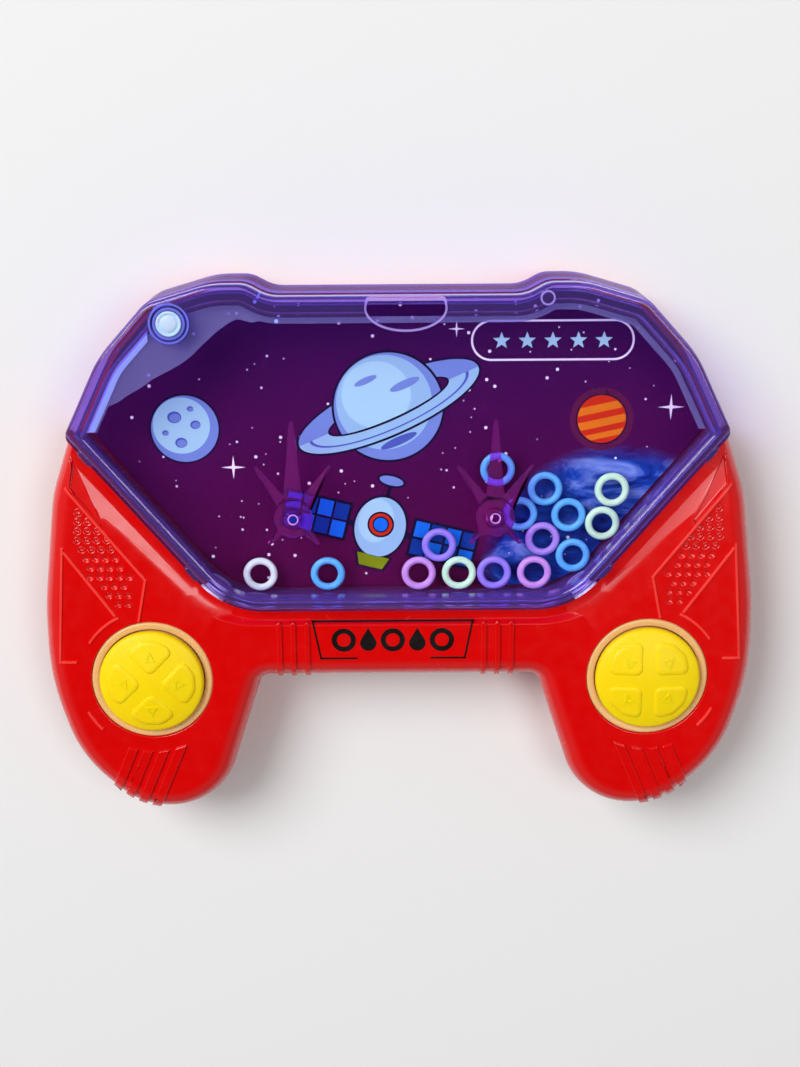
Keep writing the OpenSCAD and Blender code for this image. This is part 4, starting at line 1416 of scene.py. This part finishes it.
@dataclass
class PumpButton:
    """One thumb pump: the yellow cap and the tan rolling bellows below it."""

    side: str
    sign: float
    turn: float
    pad_r: float = 9.1
    groove: float = 2.6
    dome_r: float = 40.0
    top: float = 22.0
    brim: float = 18.6
    foot: float = 15.0
    relief_h: float = 0.36
    mark_r: float = 6.1
    roll_at: Point = (12.46, 18.3)
    roll_r: float = 0.58

    @property
    def at(self) -> Point:
        """Place of the button's axis."""
        return (self.sign * SIZES.button_x, SIZES.button_y)

    def build(self) -> None:
        """Builds the cap and the two parts of the bellows, and dresses the chamber."""
        self.cap().piece(f"{self.side}_cap", YELLOW_ETHENE, f"{self.side}_button", "cap_yellow",
                         [f"{self.side}_button_cap"], sharp=50)
        self.marks().piece(f"{self.side}_cap_marks", YELLOW_ETHENE, f"{self.side}_button", "cap_yellow", sharp=30)
        lip = self.lip().piece(f"{self.side}_bellows_lip", TAN_VINYL, "housing", "bellows_rubber",
                               [f"{self.side}_bellows"])
        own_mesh(lip)
        self.pad().piece(f"{self.side}_bellows_pad", TAN_VINYL, f"{self.side}_button", "bellows_rubber")
        redress(f"{self.side}_pump_chamber", CHAMBER_ETHENE)

    def _dome(self, radius: float) -> list[Point]:
        """Points of the dome's profile from the axis out to a radius."""
        steps = 8
        return [(r, self.top - self.dome_r + math.sqrt(self.dome_r ** 2 - r ** 2))
                for r in (radius * i / steps for i in range(steps + 1))]

    def cap(self) -> Form:
        """Builds the cap.

        Returns:
            Domed head with a rounded brim on a hollow stem, and four raised pads.
        """
        r, half, reach = SIZES.cap_r, self.groove / 2, self.pad_r
        cap = Form().lathe([
            *self._dome(10.6), (10.95, 20.35), (11.15, 20.1), (r, 19.75), (r, 19.1), (10.85, self.brim),
            (9.65, self.brim), (9.65, self.foot), (8.05, self.foot), (8.05, self.brim), (0, self.brim)])
        pad = Outline((Corner(half, half, 1.5), Corner(reach * 0.98, half, 1.5),
                       Corner(reach * 0.88, reach * 0.60, 2.8), Corner(reach * 0.60, reach * 0.88, 2.8),
                       Corner(half, reach * 0.98, 1.5)), split_y=-99)
        for quarter in range(4):
            raised = Form().loft(pad, [(self.top - 0.7, 0.0), (self.top, 0.0),
                                       *crown(self.top + self.relief_h, 0.95, self.relief_h, 0.05)])
            cap.add(raised.turn(90 * quarter).drape(self.dome_r))
        return cap.turn(self.turn).shift(*self.at)

    def marks(self) -> Form:
        """Builds the small outlined triangle on each pad."""
        arrows = Form()
        low, high = self.top + 0.25, self.top + 0.45
        tip, back, wide = 1.35, -1.0, 1.25
        for quarter in range(4):
            mark = Form().plate([(back, -wide), (tip, 0), (back, wide)], low, high)
            mark.cut(Form().plate([(back + 0.4, -wide + 0.65), (tip - 0.85, 0), (back + 0.4, wide - 0.65)],
                                  low - OVER, high + OVER))
            arrows.join(mark.shift(self.mark_r).turn(90 * quarter + 45))
        return arrows.drape(self.dome_r).turn(self.turn).shift(*self.at)

    def lip(self) -> Form:
        """Builds the part of the bellows that stays: clamped flange, wall and rolled lip."""
        (x, z), r = self.roll_at, self.roll_r
        roll = [(x + r * math.cos(math.radians(a)), z + r * math.sin(math.radians(a))) for a in range(-40, 106, 15)]
        return Form().lathe([(11.95, 15.2), (14.8, 15.2), (14.8, 16.1), (12.8, 16.1), (12.8, 17.6), *roll,
                             (11.9, 18.74), (11.55, 18.66), (11.38, 18.5), (11.36, 17.4), (11.95, 17.2)], self.at)

    def pad(self) -> Form:
        """Builds the part of the bellows that moves with the cap: inner sleeve, membrane and centring pad."""
        return Form().lathe([(0, 13.9), (10.7, 13.9), (11.0, 14.2), (11.0, 18.2), (10.8, 18.45), (10.4, 18.45),
                             (10.2, 18.2), (10.2, 14.7), (7.75, 14.7), (7.75, 16.2), (7.4, 16.5), (0, 16.5)], self.at)


@dataclass
class LooseRings:
    """The fifteen soft rings that lie on the tank's plate."""

    outer: float = 7.4
    width: float = 1.5
    height: float = 1.25
    middle_z: float = 10.725
    places: tuple[tuple[Point, RingColour], ...] = (
        ((21.2, 16.8), BLUE), ((31.4, 12.5), BLUE), ((26.1, 7.0), BLUE), ((36.5, 6.7), BLUE), ((45.7, 12.2), GREEN),
        ((43.8, 4.8), GREEN), ((31.0, 1.4), ORCHID), ((37.6, -2.3), BLUE), ((8.7, 0.2), PURPLE), ((4.3, -6.1), PINK),
        ((13.0, -6.1), GREEN), ((20.6, -6.1), PURPLE), ((29.3, -6.1), PINK), ((-15.4, -6.1), BLUE),
        ((-30.0, -6.1), WHITE),
    )

    def build(self) -> None:
        """Builds each ring on its own body."""
        half, rise = self.width / 2, self.height / 2
        profile = [(self.outer / 2 - half + half * math.cos(a), self.middle_z + rise * math.sin(a))
                   for a in map(math.radians, range(0, 360, 20))]
        for number, (at, colour) in enumerate(self.places, start=1):
            Form().lathe(profile, at, 64).piece(f"loose_ring_{number:02d}", colour.finish, f"ring_{number:02d}_body",
                                                colour.slot, [f"ring_{number:02d}"], sharp=60)


@dataclass(frozen=True)
class Panel:
    """A soft lamp panel that faces the game."""

    name: str
    way: tuple[float, float, float]
    size: float
    watts: float
    reach: float = 1.0


@dataclass
class Studio:
    """Pale floor, soft lamp panels overhead and the camera."""

    camera_at: tuple[float, float, float] = (0.3, 96.0, 358.8)
    tilt: float = -15.0
    roll: float = -0.4
    lens: float = 56.4
    floor_colour: str = "#EFEFEF"
    panels: tuple[Panel, ...] = (
        Panel("key_softbox", (-0.52, 0.45, 0.72), 1.1, 26.0, 1.8),
        Panel("left_softbox", (-0.34, 0.13, 0.94), 0.30, 0.5),
        Panel("right_softbox", (0.34, 0.13, 0.94), 0.42, 2.6),
    )
    room: float = 0.3

    def build(self) -> None:
        """Sets up floor, lights, world and camera."""
        self.floor()
        for panel in self.panels:
            self.lamp(panel)
        self.world()
        self.camera()

    def floor(self) -> None:
        """Lays the floor."""
        sheet = bmesh.new()
        bmesh.ops.create_grid(sheet, x_segments=1, y_segments=1, size=3.0)
        made = bpy.data.meshes.new("floor")
        sheet.to_mesh(made)
        sheet.free()
        thing = bpy.data.objects.new("floor", made)
        made.materials.append(dress(Moulded("pale_paper", self.floor_colour, 0.9, drift=self.floor_colour, scuff=0.0,
                                            shine=0.1)))
        bpy.context.collection.objects.link(thing)

    def lamp(self, panel: Panel) -> None:
        """Hangs one panel at its distance in metres, turned to the game."""
        data = bpy.data.lights.new(panel.name, "AREA")
        data.shape, data.size, data.energy = "DISK", panel.size, panel.watts
        thing = bpy.data.objects.new(panel.name, data)
        thing.location = Vector(panel.way).normalized() * panel.reach
        thing.rotation_euler = (-thing.location).to_track_quat("-Z", "Y").to_euler()
        bpy.context.collection.objects.link(thing)

    def world(self) -> None:
        """Lights the room: pale walls under a dark ceiling."""
        world = bpy.data.worlds.new("room")
        bpy.context.scene.world = world
        world.use_nodes = True
        tree = world.node_tree
        tree.nodes.clear()
        way = add_node(tree, "ShaderNodeTexCoord").outputs["Generated"]
        up = add_node(tree, "ShaderNodeSeparateXYZ", {0: way})
        tone = add_node(tree, "ShaderNodeValToRGB", {"Fac": up.outputs["Z"]})
        tone.color_ramp.elements[0].position, tone.color_ramp.elements[0].color = 0.55, (1, 1, 1, 1)
        tone.color_ramp.elements[1].position, tone.color_ramp.elements[1].color = 0.9, (0.04, 0.04, 0.04, 1)
        back = add_node(tree, "ShaderNodeBackground", {"Color": tone.outputs["Color"], "Strength": self.room})
        output = add_node(tree, "ShaderNodeOutputWorld")
        tree.links.new(back.outputs[0], output.inputs["Surface"])

    def camera(self) -> None:
        """Sets the camera at the photograph's place."""
        data = bpy.data.cameras.new("camera")
        data.lens, data.sensor_width, data.clip_start, data.clip_end = self.lens, 36.0, 0.01, 20.0
        thing = bpy.data.objects.new("camera", data)
        thing.location = Vector(self.camera_at) * MM
        turn = Matrix.Rotation(math.radians(self.tilt), 3, "X") @ Matrix.Rotation(math.radians(self.roll), 3, "Z")
        thing.rotation_euler = turn.to_euler()
        bpy.context.collection.objects.link(thing)
        bpy.context.scene.camera = thing
        bpy.context.scene.view_settings.view_transform = "Standard"


def main() -> None:
    """Builds every sub-assembly in order."""
    Housing().build()
    Tank().build()
    Picture().build()
    PumpButton("left", -1.0, 45.0).build()
    PumpButton("right", 1.0, 0.0).build()
    LooseRings().build()
    Studio().build()


if __name__ == "__main__":
    logging.basicConfig(level=logging.INFO, format="%(message)s")
    main()
